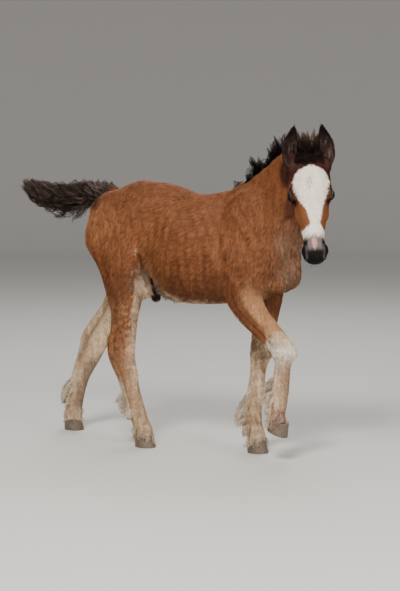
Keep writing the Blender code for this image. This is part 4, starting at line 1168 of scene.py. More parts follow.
# How many wisps grow on a square metre.
WISPS_TRUNK = 80_000
WISPS_LEG = 94_000
WISPS_FACE = 200_000
WHORL = np.array([0.117, -0.006, 0.0])


def across(rows, normals):
    """Rows laid flat on the surface that the normals stand on."""
    return unit(rows - normals * (rows * normals).sum(axis=1)[:, None])


def regions(points):
    """Shares of head, neck, legs and trunk at each point."""
    x, _, z = points.T
    head = head_share(points)
    neck = fade(0.3, 0.42, x + 0.55 * (z - 0.9)) * fade(0.8, 0.88, z + 0.4 * (x - 0.4)) * (1 - head)
    legs = fade(0.6, 0.5, z) * (1 - head)
    return head, neck, legs, (1 - head) * (1 - neck) * (1 - legs)


def lie_of(points, normals):
    """The way the hair points, flat on the skin."""
    x = points[:, 0]
    head, neck, legs, trunk = regions(points)
    back, front = fade(-0.1, -0.26, x), fade(0.16, 0.3, x)
    along, down = -0.85 + 0.55 * back + 0.4 * front, -0.55 - 0.35 * back - 0.4 * front
    heading = trunk[:, None] * np.stack([along, 0 * x, down], 1)
    heading += (trunk * fade(0.38, 0.44, x))[:, None] * np.array([0.35, 0, -0.7])
    heading += neck[:, None] * np.array([-0.62, 0.16, -0.78])
    heading += legs[:, None] * np.array([-0.12, 0, -1.0])
    local = in_head(points)
    out = local - WHORL
    below = fade(-0.01, 0.016, out[:, 0])
    face = np.stack([-1 + 2 * below, 1.3 * out[:, 1] / 0.06, 0 * x], 1)
    cheek = fade(-0.03, -0.06, local[:, 2])[:, None]
    face = face * (1 - cheek) + cheek * np.array([-0.25, 0, -1.0])
    heading += head[:, None] * (face @ np.array(HEAD.to_3x3()).T)
    return across(heading, normals)


def turned(rows, normals, angle):
    """Rows turned about their normals."""
    c, s = np.cos(angle)[:, None], np.sin(angle)[:, None]
    return rows * c + np.cross(normals, rows) * s


def corners_of(mesh):
    mesh.calc_loop_triangles()
    return rows_of(mesh.loop_triangles, "vertices", 3, np.int32)


def sow(points, normals, corners, density, seed):
    """Roots spread over a surface, this many to a square metre, with their normals."""
    a, b, c = (points[corners[:, i]] for i in range(3))
    area = np.linalg.norm(np.cross(b - a, c - a), axis=1) / 2
    wanted = np.cumsum(area * density[corners].mean(axis=1))
    count = int(wanted[-1])
    draw = np.random.default_rng(seed)
    chosen = np.searchsorted(wanted, (np.arange(count) + draw.random(count)) * (wanted[-1] / count))
    chosen = np.minimum(chosen, len(corners) - 1)
    u, v = draw.random(count), draw.random(count)
    over = u + v > 1
    u[over], v[over] = 1 - u[over], 1 - v[over]
    share = np.stack([1 - u - v, u, v], 1)[:, :, None]
    roots = (points[corners[chosen]] * share).sum(axis=1)
    return roots, unit((normals[corners[chosen]] * share).sum(axis=1))


def unwrap(roots, normals):
    """Each root's place on a flat unwrap of the skin: six sides, laid out on one square."""
    main = np.abs(normals).argmax(axis=1)
    facing = main * 2 + (normals[np.arange(len(roots)), main] > 0)
    flat = np.zeros((len(roots), 2))
    sheets = []
    for side in range(6):
        on = facing == side
        if not on.any():
            continue
        axes = [i for i in range(3) if i != side // 2]
        sheet = roots[on][:, axes]
        low = sheet.min(axis=0)
        sheets.append((*(sheet.max(axis=0) - low + 0.012), on, sheet - low))
    sheets.sort(key=lambda s: -s[1])
    wide = max(max(s[0] for s in sheets), 1.15 * math.sqrt(sum(s[0] * s[1] for s in sheets)))
    left, bottom, shelf = 0.0, 0.0, 0.0
    for width, height, on, sheet in sheets:
        if left + width > wide:
            left, bottom, shelf = 0.0, bottom + shelf, 0.0
        flat[on] = sheet + (left, bottom)
        left, shelf = left + width, max(shelf, height)
    return flat / max(wide, bottom + shelf) * 0.985 + 0.005


PATCH = 0.003  # how wide one wisp is on the unwrap


def hair_piece(name, points, corners, spots, places, normals, colours, material):
    """One mesh of many like wisps: a row of points, normals and colours for each wisp.

    corners are the triangles of one wisp, and spots say where its points lie on its patch.
    """
    count, each = points.shape[:2]
    faces = (corners[None] + each * np.arange(count)[:, None, None]).reshape(-1, 3)
    mesh = bpy.data.meshes.new(name)
    mesh.vertices.add(count * each)
    mesh.vertices.foreach_set("co", points.astype(np.float32).ravel())
    mesh.loops.add(faces.size)
    mesh.loops.foreach_set("vertex_index", faces.astype(np.int32).ravel())
    mesh.polygons.add(len(faces))
    mesh.polygons.foreach_set("loop_start", np.arange(0, faces.size, 3, dtype=np.int32))
    mesh.update(calc_edges=True)
    flat = (places[:, None] + (spots[None] - 0.5) * PATCH).reshape(-1, 2)
    mesh.uv_layers.new(name="OFBake").data.foreach_set("uv", flat[faces.ravel()].astype(np.float32).ravel())
    mesh.shade_smooth()
    mesh.normals_split_custom_set_from_vertices(normals.reshape(-1, 3).astype(np.float32))
    piece = put_in_scene(name, mesh)
    paint(piece, colours.reshape(-1, 3))
    mesh.materials.append(material)
    return piece


# A wisp is a spindle: its root, a ring of three at its widest and its tip.
WISP_CORNERS = np.array([(0, 2, 1), (0, 3, 2), (0, 1, 3), (1, 2, 4), (2, 3, 4), (3, 1, 4)])
WISP_SPOTS = np.array([(0.5, 0.0), (0.0, 0.45), (1.0, 0.45), (0.5, 0.45), (0.5, 1.0)])


def wisps(name, roots, normals, lie, length, width, lift, colours, material, seed):
    """Wisps that leave the skin at a slant and sink back to it at their tips."""
    draw = np.random.default_rng(seed)
    count = len(roots)
    side = np.cross(normals, lie)
    length = (length * draw.uniform(0.75, 1.2, count))[:, None]
    half = (width * draw.uniform(0.8, 1.2, count) / 2)[:, None]
    lift = lift * draw.uniform(0.6, 1.4, count)
    first = lie * np.cos(lift)[:, None] + normals * np.sin(lift)[:, None]
    last = lie * np.cos(0.2 * lift - 0.05)[:, None] + normals * np.sin(0.2 * lift - 0.05)[:, None]
    last = turned(last, normals, draw.uniform(-0.35, 0.35, count))
    low = roots - normals * (0.25 * width)[:, None]
    middle = low + first * length * 0.42
    tip = middle + last * length * 0.58
    rise = normals * half * 0.7
    points = np.stack([low, middle - side * half, middle + side * half, middle + rise, tip], axis=1)
    slopes = np.array([0, -0.6, 0.6, 0, 0])[None, :, None]
    facing = unit(normals[:, None] + side[:, None] * slopes - lie[:, None] * 0.15)
    tone = draw.uniform(0.78, 1.16, count)[:, None] * np.array([0.62, 0.95, 0.95, 1.02, 1.14])
    painted = colours[:, None] * tone[:, :, None]
    return hair_piece(name, points, WISP_CORNERS, WISP_SPOTS, unwrap(roots, normals), facing, painted, material)


def bare_places(points):
    """0 where no hair grows: in the eyes, nostrils and mouth, inside the hooves and on the dock."""
    local = in_head(points)
    grows = np.ones(len(points))
    for side in (-1, 1):
        near = lengths(from_eye(points, side)) < 0.04
        grows[near & (lid_opening(eye_measure(points, side))[0] > -0.003)] = 0
        grows[(nostril_reach(local, side) < 1.5) & (local[:, 1] * side > 0.01)] = 0
    grows[(np.abs(mouth_gap(local)) < 0.004) & (head_share(points) > 0.5) & (local[:, 0] > 0.31)] = 0
    bottoms = np.array([rows[-1][2] for rows, _ in LEGS])[leg_measure(points)[0]] + 0.01
    grows[(points[:, 2] < bottoms) & (points[:, 2] < 0.2)] = 0
    dock = fade(-0.35, -0.375, points[:, 0]) * (points[:, 2] > 0.86)
    return grows * (1 - dock)


def grow_coat():
    """Sows wisps over the whole skin and keeps them in pieces by the part of the body they are on."""
    head, neck, legs, trunk = regions(skin_points)
    density = head * WISPS_FACE + legs * WISPS_LEG + (trunk + neck) * WISPS_TRUNK
    roots, normals = sow(skin_points, skin_normals, corners_of(skin.data), density * bare_places(skin_points), 71)
    for side in (-1, 1):
        out = from_eye(roots, side)
        reach = lengths(out)
        near = fade(0.036, 0.03, reach)[:, None]
        normals = unit(normals * (1 - near) + out / reach[:, None] * near)
    head, neck, legs, trunk = regions(roots)
    along_face, _, out_of_face = in_head(roots).T
    x, _, z = roots.T
    broad, mid, small = ripple(roots, 0.085, 51), ripple(roots, 0.04, 52), ripple(roots, 0.017, 53)
    rough = fade(-0.1, -0.2, x) * fade(0.7, 0.8, z) + fade(0.7, 0.62, z) * fade(0.1, 0, x) * (x > -0.25)
    rough = 0.45 + rough + fade(0.05, 0.0, np.abs(x - 0.25)) * fade(0.86, 0.92, z)
    rough = np.clip(rough, 0, 1) * (1 - head) + 0.18 * head
    lie = turned(lie_of(roots, normals), normals, rough * (0.5 * mid + 0.6 * small + 0.2 * broad))
    face = 0.72 + 0.5 * fade(-0.07, -0.12, out_of_face) + 0.35 * fade(0.11, 0.05, along_face)
    face -= 0.35 * fade(0.25, 0.32, along_face) + 0.12 * fade(0.32, 0.35, along_face)
    length = head * WISP_LENGTH_FACE * face * 1.15 + legs * WISP_LENGTH_LEG + neck * WISP_LENGTH_TRUNK * 0.95
    length += trunk * WISP_LENGTH_TRUNK * (0.9 + 0.4 * rough)
    length *= 1 + 0.15 * mid
    width = head * 0.0013 + legs * 0.002 + (trunk + neck) * 0.0023
    lift = head * 0.21 + legs * 0.2 + (trunk + neck) * (0.2 + 0.16 * rough * (1 + small))
    tone = 1 + (0.16 * mid + 0.22 * small) * (1 - 0.5 * head) + 0.06 * broad
    colours = markings(roots) * tone[:, None]
    which = leg_measure(roots)[0]
    part = np.where(head > 0.5, 0, np.where(legs > 0.5, 1 + which, np.where(neck > 0.5, 5, 6)))
    third = np.digitize(x, np.quantile(x[part == 6], [1 / 3, 2 / 3]))
    part = np.where(part == 6, 6 + third, part)
    names = ["head", "right_hind", "left_hind", "right_fore", "left_fore", "neck", "croup", "ribs", "shoulder"]
    for i, name in enumerate(names):
        rows = [row[part == i] for row in (roots, normals, lie, length, width, lift, colours)]
        settle(wisps("coat_" + name, *rows, fur, 80 + i), "cream_coat" if 1 <= i <= 4 else "bay_coat")


fur = coat_material("fur", 0.88, 1.1, 0.6)
grow_coat()

# Ears.
# Each is a thin cupped leaf of gristle and skin, rolled round its length and open forward, set in
# a collar of muscle on the poll. Its own short fur is dark outside and smoky with long hair within.

EAR_LENGTH = 0.157
EAR_THICK = 0.003
WISPS_EAR_INSIDE = 130_000.0
WISPS_EAR_OUTSIDE = 240_000.0


def ear_place(side):
    turn = HEAD.to_3x3()
    rise = (turn @ Vector((-0.9, 0.02 * side, 0.43))).normalized()
    face = turn @ Vector((0.25, 0.3 * side, 0.91))
    face = (face - rise * face.dot(rise)).normalized()
    base = HEAD @ Vector((0.057, 0.056 * side, -0.041))
    return Matrix.Translation(base) @ Matrix((face, rise.cross(face), rise)).transposed().to_4x4()


def ear_shape(t, side):
    """The ear's roll at a share of its height: radius, half of its opening and middle."""
    radius = 0.003 + 0.0235 * np.maximum(0, np.sin(math.pi * (0.02 + 0.98 * t))) ** 0.7
    opening = np.radians(16 + 60 * np.minimum(1, t * 2.2))
    lean = side * (0.01 * np.minimum(1, 3 * t) - 0.026 * t**2.5)
    return radius, opening, np.stack([0.01 * t * t, lean, t * EAR_LENGTH], -1)


def ear_leaf(name, side):
    """The rolled leaf: rows of points outside, then the same inside, with faces over the rims."""
    rows, around = 44, 34
    outer, inner = [], []
    for i in range(rows + 1):
        radius, opening, middle = ear_shape(i / rows, side)
        for k in range(around + 1):
            share = k / around
            angle = opening + (2 * math.pi - 2 * opening) * share
            reach = Vector((math.cos(angle), math.sin(angle), 0))
            rim = 1 - 0.55 * bell(min(share, 1 - share), 0, 0.035)
            outer.append(Vector(middle) + reach * radius)
            inner.append(Vector(middle) + reach * max(radius - EAR_THICK * rim, radius * 0.35))
    count = around + 1
    total = count * (rows + 1)
    faces = []
    for i in range(rows):
        for k in range(around):
            a = i * count + k
            faces.append((a, a + 1, a + 1 + count, a + count))
            faces.append((total + a, total + a + count, total + a + 1 + count, total + a + 1))
        for k in (0, around):
            a = i * count + k
            faces.append((a, a + count, total + a + count, total + a))
    for k in range(around):
        for a in (rows * count + k, k):
            faces.append((a, a + 1, total + a + 1, total + a))
    leaf = piece_from(name, [([ear_place(side) @ p for p in outer + inner], faces)])
    leaf.data.shade_smooth()
    return leaf, total


def dress_ear(side, name):
    leaf, total = ear_leaf(name + "_leaf", side)
    points, normals = points_of(leaf.data), normals_of(leaf.data)
    place = ear_place(side)
    height = through(place.inverted(), points)[:, 2] / EAR_LENGTH
    inside = np.arange(len(points)) >= total
    outer_colour = tint(light(46, 28, 23), (light(26, 19, 18), fade(0.35, 0.9, height)))
    inner_colour = tint(light(74, 54, 50), (light(34, 26, 25), fade(0.3, 0.95, height)))
    paint(leaf, np.where(inside[:, None], inner_colour, outer_colour))
    leaf.data.materials.append(short_fur)
    density = np.where(inside, WISPS_EAR_INSIDE, WISPS_EAR_OUTSIDE) * (height > 0.01)
    roots, facing = sow(points, normals, corners_of(leaf.data), density, 91 + side)
    local = through(place.inverted(), roots)
    t = local[:, 2] / EAR_LENGTH
    pale = (facing * unit(local[:, :2] @ np.array(place)[:3, :2].T)).sum(axis=1) < 0
    lie = across(np.broadcast_to(np.array(place)[:3, 2], roots.shape), facing)
    lie = turned(lie, facing, 0.25 * ripple(roots, 0.012, 54))
    lines = fade(0.15, 0.7, ripple(local * np.array([1, 1, 0.15]), 0.011, 55)) * fade(0.85, 0.6, t)
    without = tint(light(50, 30, 25), (light(28, 20, 19), fade(0.35, 0.9, t)))
    within = tint(
        light(66, 48, 45), (light(36, 27, 26), fade(0.2, 0.95, t)), (light(140, 116, 108), 0.6 * lines)
    )
    colours = np.where(pale[:, None], within, without)
    length, lift = np.where(pale, 0.015, 0.008), np.where(pale, 0.45, 0.22)
    width = np.full(len(roots), 0.0013)
    piece = wisps("coat_" + name, roots, facing, lie, length, width, lift, colours, fur, 95 + side)
    settle(leaf, "dark_coat", name)
    settle(piece, "dark_coat")


dress_ear(-1, "ear_right")
dress_ear(1, "ear_left")

# Mane, forelock and tail.
# A foal's long hair is soft and crimped. It grows as locks of many strands that leave the root
# together, swell and curl, and draw to a point.

LONG_HAIR = light(26, 18, 17)
LONG_HAIR_TIPS = light(92, 69, 56)
# The mane stands in two tufts: places up the crest, as shares, and how long it is there.
MANE_PLACES = [0, 0.03, 0.05, 0.22, 0.29, 0.37, 0.44, 0.49, 0.53, 0.58, 0.68, 0.82, 1]
MANE_LENGTHS = [0.034, 0.026, 0.01, 0.018, 0.07, 0.098, 0.078, 0.036, 0.026, 0.066, 0.08, 0.074, 0.06]


def strand_corners(stations):
    faces = [(2, 1, 0)]
    for i in range(stations - 2):
        for k in range(3):
            a, b = 3 * i + k, 3 * i + (k + 1) % 3
            faces += [(a, b, b + 3), (a, b + 3, a + 3)]
    last = 3 * (stations - 2)
    faces += [(last + k, last + (k + 1) % 3, last + 3) for k in range(3)]
    return np.array(faces)


def strand_spots(stations):
    spots = [(k / 2, i / (stations - 1)) for i in range(stations - 1) for k in range(3)]
    return np.array(spots + [(0.5, 1.0)])


def strands(name, paths, outward, width, root_colour, tip_colour, material, seed):
    """Tapered strands along paths: rows of stations. outward is the way each root's skin looks."""
    draw = np.random.default_rng(seed)
    count, stations = paths.shape[:2]
    heading = unit(np.gradient(paths, axis=1))
    side = unit(np.cross(outward[:, None], heading))
    rise = np.cross(heading, side)
    t = np.linspace(0, 1, stations)[None, :, None]
    half = (width * draw.uniform(0.75, 1.25, count) / 2)[:, None, None] * (0.75 + 0.5 * t) * (1 - t**2.5)
    rings = []
    for angle in (math.radians(210), math.radians(330), math.radians(90)):
        rings.append(paths + half * (math.cos(angle) * side + math.sin(angle) * rise))
    points = np.stack(rings, axis=2)[:, :-1].reshape(count, -1, 3)
    centres = np.repeat(paths[:, :-1], 3, axis=1)
    facing = np.concatenate([unit(points - centres + 0.0006 * outward[:, None]), outward[:, None]], axis=1)
    points = np.concatenate([points, paths[:, -1:]], axis=1)
    tone = draw.uniform(0.75, 1.25, count)[:, None, None]
    share = np.append(np.repeat(np.linspace(0, 1, stations)[:-1], 3), 1.0)[None, :, None] ** 1.3
    painted = (root_colour[..., None, :] * (1 - share) + tip_colour[..., None, :] * share) * tone
    corners, spots = strand_corners(stations), strand_spots(stations)
    return hair_piece(name, points, corners, spots, unwrap(paths[:, 0], outward), facing, painted, material)


def lock_paths(guides, outward, count, spread, swell, curl, crimp, draw):
    """Strands round each guide: they start spread apart, swell, wave together and close at the tip."""
    locks, stations = guides.shape[:2]
    guide = np.repeat(guides, count, axis=0)
    heading = unit(np.gradient(guide, axis=1))
    side = unit(np.cross(heading, np.repeat(outward, count, axis=0)[:, None]))
    rise = np.cross(side, heading)
    t = np.linspace(0, 1, stations)[None, :]
    angle = draw.uniform(0, 2 * math.pi, (locks * count, 1))
    reach = np.sqrt(draw.random((locks * count, 1)))
    away = reach * (spread * (1 - t) + swell * np.sin(math.pi * np.clip(t * 0.9 + 0.05, 0, 1)))
    turns = np.repeat(draw.uniform(0.8, 1.3, (locks, 1)) * curl, count, axis=0)
    phase = np.repeat(draw.uniform(0, 2 * math.pi, (locks, 1)), count, axis=0)
    phase = phase + draw.normal(0, 0.35, (locks * count, 1))
    bend = crimp * np.minimum(1, 3 * t)
    one = away * np.cos(angle) + bend * np.sin(phase + 2 * math.pi * turns * t)
    two = away * np.sin(angle) + bend * np.cos(phase + 2 * math.pi * turns * t)
    return guide + one[:, :, None] * side + two[:, :, None] * rise


def arcs(roots, rise, lie, length, stations):
    """Guides that set off along rise and turn over to lie."""
    rise, lie = unit(rise), unit(lie)
    paths = [roots - rise * 0.004]
    for i in range(stations - 1):
        share = min(1.0, (i + 0.3) / (stations - 2))
        paths.append(paths[-1] + unit(rise * (1 - share) + lie * share) * (length / (stations - 1))[:, None])
    return np.stack(paths, axis=1)


def grow_mane():
    """Upright fluff on the crest that leans to the far side and back."""
    draw = np.random.default_rng(11)
    rows = curve_through([row[:6] for row in NECK], 24)
    tangents = unit(np.gradient(rows[:, :3], axis=0))
    locks, each = 140, 14
    t = (np.arange(locks) + draw.random(locks)) / locks
    at = ((0.02 + 0.9 * t) * (len(rows) - 1)).astype(int)
    along = tangents[at]
    out = across(np.broadcast_to(np.array(CREST), along.shape), along)
    left = np.cross(out, along)
    left *= np.sign(left[:, 1:2])
    apart = draw.uniform(-0.5, 1, locks)[:, None]
    roots = rows[at, :3] + out * (rows[at, 3:4] - 0.006 - 0.005 * apart**2) + left * 0.013 * apart
    lean = 0.25 + 0.35 * apart + draw.uniform(-0.2, 0.2, locks)[:, None]
    forward = np.interp(t, [0.25, 0.35, 0.5, 0.56, 0.7], [0.1, 0.5, -0.2, 0.5, 0.2])[:, None]
    rise = out + left * lean + along * (forward + draw.uniform(-0.2, 0.2, locks)[:, None])
    lie = out * 0.75 + left * (lean + 0.4) + along * (1.2 * forward - draw.uniform(0.1, 0.6, locks)[:, None])
    length = np.interp(t, MANE_PLACES, MANE_LENGTHS) * draw.uniform(0.65, 1.25, locks)
    guides = arcs(roots, rise, lie, length, 8)
    paths = lock_paths(guides, left, each, 0.005, 0.007, 1.4, 0.0028, draw)
    tips = tint(LONG_HAIR, (LONG_HAIR_TIPS, np.repeat(draw.random(locks), each)))
    piece = strands("mane", paths, np.repeat(left, each, axis=0), 0.0014, LONG_HAIR, tips, long_hair, 12)
    settle(piece, "black_hair")


def grow_forelock():
    """A dense tuft between the ears: the hindmost stands up and the foremost tips over the forehead."""
    draw = np.random.default_rng(5)
    locks, each = 135, 14
    turn = np.array(HEAD)[:3, :3].T
    t = draw.random(locks)[:, None]
    apart = draw.uniform(-1, 1, locks)[:, None]
    bulge = np.interp(-0.035 + 0.073 * t, [-0.035, -0.005, 0.02, 0.045], [-0.03, -0.012, -0.001, 0.007])
    roots = through(HEAD, np.hstack([-0.035 + 0.066 * t, 0.04 * apart, bulge - 0.013 * apart**2]))
    rise = np.hstack([1.0 * t - 0.85, 0.3 * apart, 1.0 - 0.3 * (1 - t)]) @ turn
    stray = draw.uniform(-0.3, 0.3, (locks, 1))
    lie = np.hstack([2.1 * t - 1.1, 0.4 * apart + stray, 0.75 - 0.5 * t]) @ turn
    length = (0.064 - 0.034 * t[:, 0]) * draw.uniform(0.65, 1.2, locks)
    guides = arcs(roots, rise, lie, length, 8)
    out = unit(np.hstack([1 + 0 * t, 0.3 * apart, 0.8 + 0 * t]) @ turn)
    paths = lock_paths(guides, out, each, 0.007, 0.006, 1.0, 0.002, draw)
    share = np.repeat(fade(0.45, 0.05, t[:, 0]) * draw.uniform(0.3, 1, locks), each)
    tips = tint(LONG_HAIR * 1.2, (light(116, 90, 70), share))
    piece = strands("forelock", paths, np.repeat(out, each, axis=0), 0.0014, LONG_HAIR, tips, long_hair, 6)
    settle(piece, "black_hair")


def grow_ear_tufts():
    """Longer hair along the front edges of each ear and in a collar round its base."""
    draw = np.random.default_rng(17)
    paths, normals, tips = [], [], []
    for side in (-1, 1):
        count = 520
        t = np.where(draw.random(count) < 0.6, 0.04 + 0.62 * draw.random(count), 0.02 + 0.05 * draw.random(count))
        on_edge = t > 0.075
        edge = on_edge[:, None]
        radius, opening, middle = ear_shape(t, side)
        opening = opening + draw.uniform(0.0, 0.25, count)
        rim = np.where(draw.random(count) < 0.5, 1, -1) * opening
        angle = np.where(on_edge, rim, draw.uniform(-math.pi, math.pi, count))
        reach = np.stack([np.cos(angle), np.sin(angle), 0 * angle], 1)
        root = middle + reach * (radius - 0.002)[:, None]
        inward = np.stack([0.35 + 0 * angle, -0.8 * np.sin(angle), 0.8 + 0 * angle], 1)
        outward = reach * 0.55 + np.array([0, 0, 0.9])
        rise = np.where(edge, reach * 0.6 + np.array([0.2, 0, 0.6]), outward)
        lie = np.where(edge, inward, outward) + draw.normal(0, 0.15, (count, 3))
        length = np.where(on_edge, 0.02, 0.017) * draw.uniform(0.6, 1.2, count)
        turn = np.array(ear_place(side))[:3, :3].T
        paths.append(arcs(through(ear_place(side), root), rise @ turn, lie @ turn, length, 6))
        normals.append(unit(reach @ turn))
        tips.append(np.where(edge, light(96, 76, 68), light(70, 44, 34)))
    paths, normals, tips = (np.concatenate(rows) for rows in (paths, normals, tips))
    piece = strands("ear_tufts", paths, normals, 0.0011, light(34, 24, 22), tips, long_hair, 18)
    settle(piece, "dark_coat")


# The tail's hair fills these sections: centre, then reach up, reach down and half width.
TAIL = millimetres([
    (-300, 0, 930, 24, 26, 26), (-345, 0, 940, 26, 28, 27), (-390, 0, 942, 30, 40, 32),
    (-440, 0, 934, 38, 64, 42), (-490, 0, 922, 42, 86, 46), (-545, 0, 915, 44, 88, 46),
    (-600, 0, 915, 36, 74, 44), (-650, 0, 925, 42, 56, 40), (-700, 0, 942, 34, 36, 30),
    (-737, 0, 958, 14, 14, 12),
])


def grow_tail():
    """Locks from all round the dock that sweep back and curl within the tail's sections."""
    draw = np.random.default_rng(23)
    locks, each, stations, span = 236, 12, 10, 12
    rows = curve_through(TAIL, span)
    t = (np.arange(locks) + draw.random(locks)) / locks
    start = ((0.02 + 0.72 * t) * (len(rows) - 1)).astype(int)
    end = np.minimum(len(rows) - 1, start + (span * (1.4 + 0.9 * t + 0.8 * draw.random(locks))).astype(int))
    angle = 2.4 * np.arange(locks) + draw.uniform(-0.3, 0.3, locks)
    c, s = np.cos(angle), np.sin(angle)

    def round_dock(at, share):
        reach = np.where(c > 0, rows[at, 3], rows[at, 4])
        return rows[at, :3] + share[:, None] * np.stack([0 * c, s * rows[at, 5], c * reach], axis=1)

    root = round_dock(start, np.interp(t, [0, 0.12], [0.85, 0.3]))
    hangs = (c < -0.2) * (np.abs(rows[end, 0] + 0.52) < 0.07) * (draw.random(locks) < 0.6)
    tip = round_dock(end, draw.uniform(0.45, 1.0, locks) + 0.28 * hangs)
    swell = round_dock(start, np.ones(locks)) - rows[start, :3]
    middle = root * 0.55 + tip * 0.45 + swell * draw.uniform(0.2, 0.6, locks)[:, None]
    u = np.linspace(0, 1, stations)[None, :, None]
    guides = root[:, None] * (1 - u) ** 2 + middle[:, None] * 2 * u * (1 - u) + tip[:, None] * u**2
    out = np.stack([0.1 + 0 * c, s, c], axis=1)
    paths = lock_paths(guides, out, each, 0.006, 0.0085, 1.9, 0.0085, draw)
    pale = 0.75 * (draw.random(len(paths)) < np.repeat(0.1 + 0.35 * (t < 0.15), each))
    roots = tint(LONG_HAIR, (light(92, 78, 72), pale))
    brown = np.repeat(draw.random(locks), each) * 0.7
    tips = tint(LONG_HAIR, (LONG_HAIR_TIPS, brown), (light(128, 112, 104), pale))
    piece = strands("tail_hair", paths, np.repeat(out, each, axis=0), 0.0017, roots, tips, long_hair, 24)
    settle(piece, "black_hair", "tail")


long_hair = coat_material("long_hair", 0.85, 1.15, 0.42)
grow_mane()
grow_forelock()
grow_ear_tufts()
grow_tail()

# Lashes and whiskers: stiff single hairs, a row of lashes along each upper lid and long fine
# whiskers that stand out round the lips and chin.


def grow_lashes():
    draw = np.random.default_rng(29)
    paths, normals = [], []
    for side in (-1, 1):
        turn = np.array(eye_frame(side))
        up = math.copysign(1, Vector(turn[:, 1]).dot(HEAD.to_3x3() @ UP))
        count = 90
        u = draw.uniform(-0.0155, 0.015, count)
        v = LID_HEIGHT * lid_arch(u) + draw.uniform(0.0005, 0.0022, count)
        on_lid = unit(np.stack([u, up * v, np.sqrt(EYE_RADIUS**2 - u**2 - v**2)], 1))
        root = (on_lid * (EYE_RADIUS + 0.001)) @ turn.T + np.array(eye_centre(side))
        rise = np.stack([14 * u, up * 0.5 + 0 * u, 1.0 + 0 * u], 1) @ turn.T
        along, outward = 20 * u + draw.normal(0, 0.2, count), up * draw.normal(0.1, 0.15, count)
        lie = np.stack([along, outward, 0.9 + 0 * u], 1) @ turn.T
        paths.append(arcs(root, rise, lie, 0.011 * draw.uniform(0.6, 1.2, count), 5))
        normals.append(on_lid @ turn.T)
    paths, normals = np.concatenate(paths), np.concatenate(normals)
    tips = tint(light(60, 46, 42), (light(168, 150, 140), draw.random(len(normals))))
    settle(strands("lashes", paths, normals, 0.0005, light(34, 26, 25), tips, long_hair, 30), "black_hair")


def grow_whiskers():
    draw = np.random.default_rng(37)
    local = in_head(skin_points)
    off = np.abs(mouth_gap(local))
    near = (head_share(skin_points) > 0.9) & (local[:, 0] > 0.312) & (off < 0.028) & (off > 0.005)
    near &= (nostril_reach(local, 1) > 1.8) & (nostril_reach(local, -1) > 1.8)
    chosen = draw.choice(np.flatnonzero(near), 110, replace=False)
    roots, normals = skin_points[chosen], skin_normals[chosen]
    lie = normals + np.array([0, 0, -0.5]) + draw.normal(0, 0.25, normals.shape)
    paths = arcs(roots, normals, lie, draw.uniform(0.008, 0.022, len(roots)), 5)
    tips = tint(light(30, 24, 23), (light(120, 108, 102), draw.random(len(roots))))
    settle(strands("whiskers", paths, normals, 0.0004, light(30, 24, 23), tips, long_hair, 38), "black_hair")


grow_lashes()
grow_whiskers()

# Feather: the long silky hair of a cob's legs, which starts behind the knee and hock and thickens
# behind each fetlock, where it falls over the hoof.


def grow_feather(name, leg_rows, reaches, fullness):
    """Locks in a round tuft behind the fetlock and in a thinner fringe up the back and round the hoof."""
    draw = np.random.default_rng(int(abs(leg_rows[0][0]) * 1000))
    locks, each, stations = int(96 * fullness), 12, 6
    leg_rows, reaches = np.array(leg_rows)[::-1], np.array(reaches)[::-1]
    heights = leg_rows[:, 2]
    bottom = heights[0]
    t = draw.random(locks)
    tuft = draw.random(locks) < 0.62
    z = bottom + np.where(tuft, 0.088 + 0.075 * t, 0.012 + 0.17 * t**1.4)
    middle = np.stack([np.interp(z, heights, leg_rows[:, i]) for i in range(2)], axis=1)
    ahead, behind, width = (np.interp(z, heights, reaches[:, i]) for i in range(3))
    angle = draw.normal(0, 0.62 + 0.8 * fade(0.08, 0.03, z - bottom), locks)
    back, sideways = -np.cos(angle), np.sin(angle)
    out = np.stack([back * np.where(back < 0, behind, ahead), sideways * width, 0 * back], axis=1)
    roots = np.concatenate([middle, z[:, None]], axis=1) + out * 0.86
    out = unit(out)
    rise = out * np.where(tuft, 1.5, 0.6)[:, None] + np.array([0, 0, -0.6])
    lie = np.stack([np.where(tuft, 0.65, 0.15) * back, 0.3 * sideways, -1 + 0 * back], axis=1)
    lie = lie + draw.normal(0, 0.12, (locks, 3))
    length = np.where(tuft, 0.05, 0.036) * draw.uniform(0.65, 1.15, locks)
    length = np.minimum(length, (z - (bottom - 0.024)) / 0.93)
    guides = arcs(roots, rise, lie, length, stations)
    paths = lock_paths(guides, out, each, 0.006, 0.007, 1.2, 0.003, draw)
    paths[:, :, 2] = np.maximum(paths[:, :, 2], bottom - 0.028)
    paleness = np.repeat(np.where(tuft, 0.8, 0.3) * draw.uniform(0.5, 1, locks), each)
    base = tint(markings(np.repeat(roots, each, axis=0)), (light(232, 216, 194), paleness))
    piece = strands("feather_" + name, paths, np.repeat(out, each, axis=0), 0.0013, base, base * 1.1, silk, 31)
    settle(piece, "cream_coat")


silk = coat_material("silk", 0.85, 1.12, 0.5)
grow_feather("right_hind", RIGHT_HIND, HIND_REACH, 1.0)
grow_feather("left_hind", LEFT_HIND, HIND_REACH, 1.5)
grow_feather("right_fore", RIGHT_FORE, FORE_REACH, 0.8)
grow_feather("left_fore", LEFT_FORE, FORE_REACH, 1.3)

# The studio: a pale round floor whose rim sweeps up into a low wall on all sides, soft light from
# above and from the camera's left, and the camera as low and as far as the photo's.

FLOOR_RADIUS = 10.0
RIM_BEND = 2.5
RIM_HEIGHT = 6.0


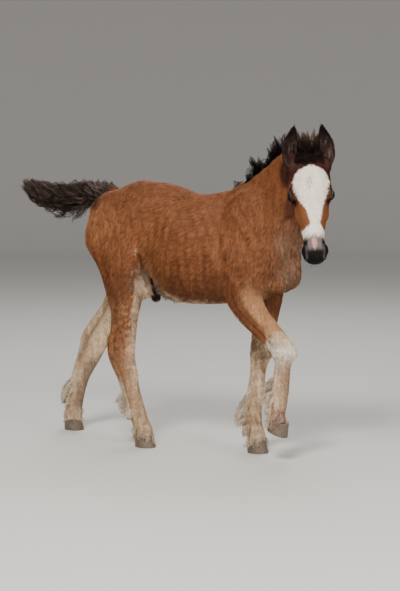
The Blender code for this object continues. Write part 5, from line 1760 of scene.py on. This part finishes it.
def studio_bowl():
    """The floor and the wall round it in one sheet."""
    around = 96
    profile = [(FLOOR_RADIUS * i / 8, 0.0) for i in range(1, 9)]
    for i in range(1, 17):
        angle = math.pi / 2 * i / 16
        profile.append((FLOOR_RADIUS + RIM_BEND * math.sin(angle), RIM_BEND * (1 - math.cos(angle))))
    profile.append((FLOOR_RADIUS + RIM_BEND, RIM_HEIGHT))
    points = [(0, 0, 0)]
    for reach, height in profile:
        points += [(reach * c, reach * s, height) for _, c, s in circle(around)]
    faces = [(0, 1 + k, 1 + (k + 1) % around) for k in range(around)]
    for i in range(len(profile) - 1):
        for k in range(around):
            a, b = 1 + i * around + k, 1 + i * around + (k + 1) % around
            faces.append((a, a + around, b + around, b))
    mesh = bpy.data.meshes.new("floor")
    mesh.from_pydata(points, [], faces)
    mesh.shade_smooth()
    return put_in_scene("floor", mesh)


floor = studio_bowl()
FLOOR_COLOUR = (0.58, 0.565, 0.54, 1)
dull = {"Base Color": FLOOR_COLOUR, "Roughness": 0.9, "Specular IOR Level": 0.1}
floor.data.materials.append(start_material("pale_floor", dull))

world = bpy.data.worlds.new("sky")
bpy.context.scene.world = world
world.use_nodes = True
sky = {"Color": (0.98, 0.98, 0.98, 1), "Strength": 0.45}
set_inputs(world.node_tree, world.node_tree.nodes["Background"], sky)


def add_light(name, place, size, power, colour):
    lamp = bpy.data.lights.new(name, "AREA")
    lamp.shape = "DISK"
    lamp.size = size
    lamp.energy = power
    lamp.color = colour
    holder = put_in_scene(name, lamp)
    holder.location = place
    holder.rotation_euler = (Vector((0, 0, 0.7)) - Vector(place)).to_track_quat("-Z", "Y").to_euler()


add_light("key", (1.0, -3.4, 3.8), 1.4, 262, (1.0, 0.96, 0.91))
add_light("top", (-0.6, 0.9, 4.4), 2.4, 36, (1.0, 0.98, 0.95))
add_light("front", (4.0, -1.6, 1.8), 1.6, 92, (1.0, 0.97, 0.93))
add_light("wall", (-1.5, 3.5, 4.5), 3.0, 120, (1.0, 0.99, 0.98))

# The photo's focal length, height and horizon, in its own picture points.
PHOTO_FOCUS, PHOTO_HEIGHT, PHOTO_HORIZON = 1780, 591, 128
CAMERA_PLACE = Vector((3.3947, -5.5434, 1.17))
CAMERA_AZIMUTH = math.radians(31)
CAMERA_PITCH = math.atan((PHOTO_HEIGHT / 2 - PHOTO_HORIZON) / PHOTO_FOCUS)
sine, cosine = math.sin(CAMERA_AZIMUTH), math.cos(CAMERA_AZIMUTH)
camera = bpy.data.cameras.new("camera")
camera.lens = PHOTO_FOCUS * camera.sensor_width / PHOTO_HEIGHT
viewer = put_in_scene("camera", camera)
aim = Vector((-sine, cosine, 0)) * math.cos(CAMERA_PITCH) - UP * math.sin(CAMERA_PITCH)
right = Vector((cosine, sine, 0))
turn = Matrix((right, right.cross(aim), -aim)).transposed().to_4x4()
viewer.matrix_world = Matrix.Translation(CAMERA_PLACE + HOME) @ turn
bpy.context.scene.camera = viewer
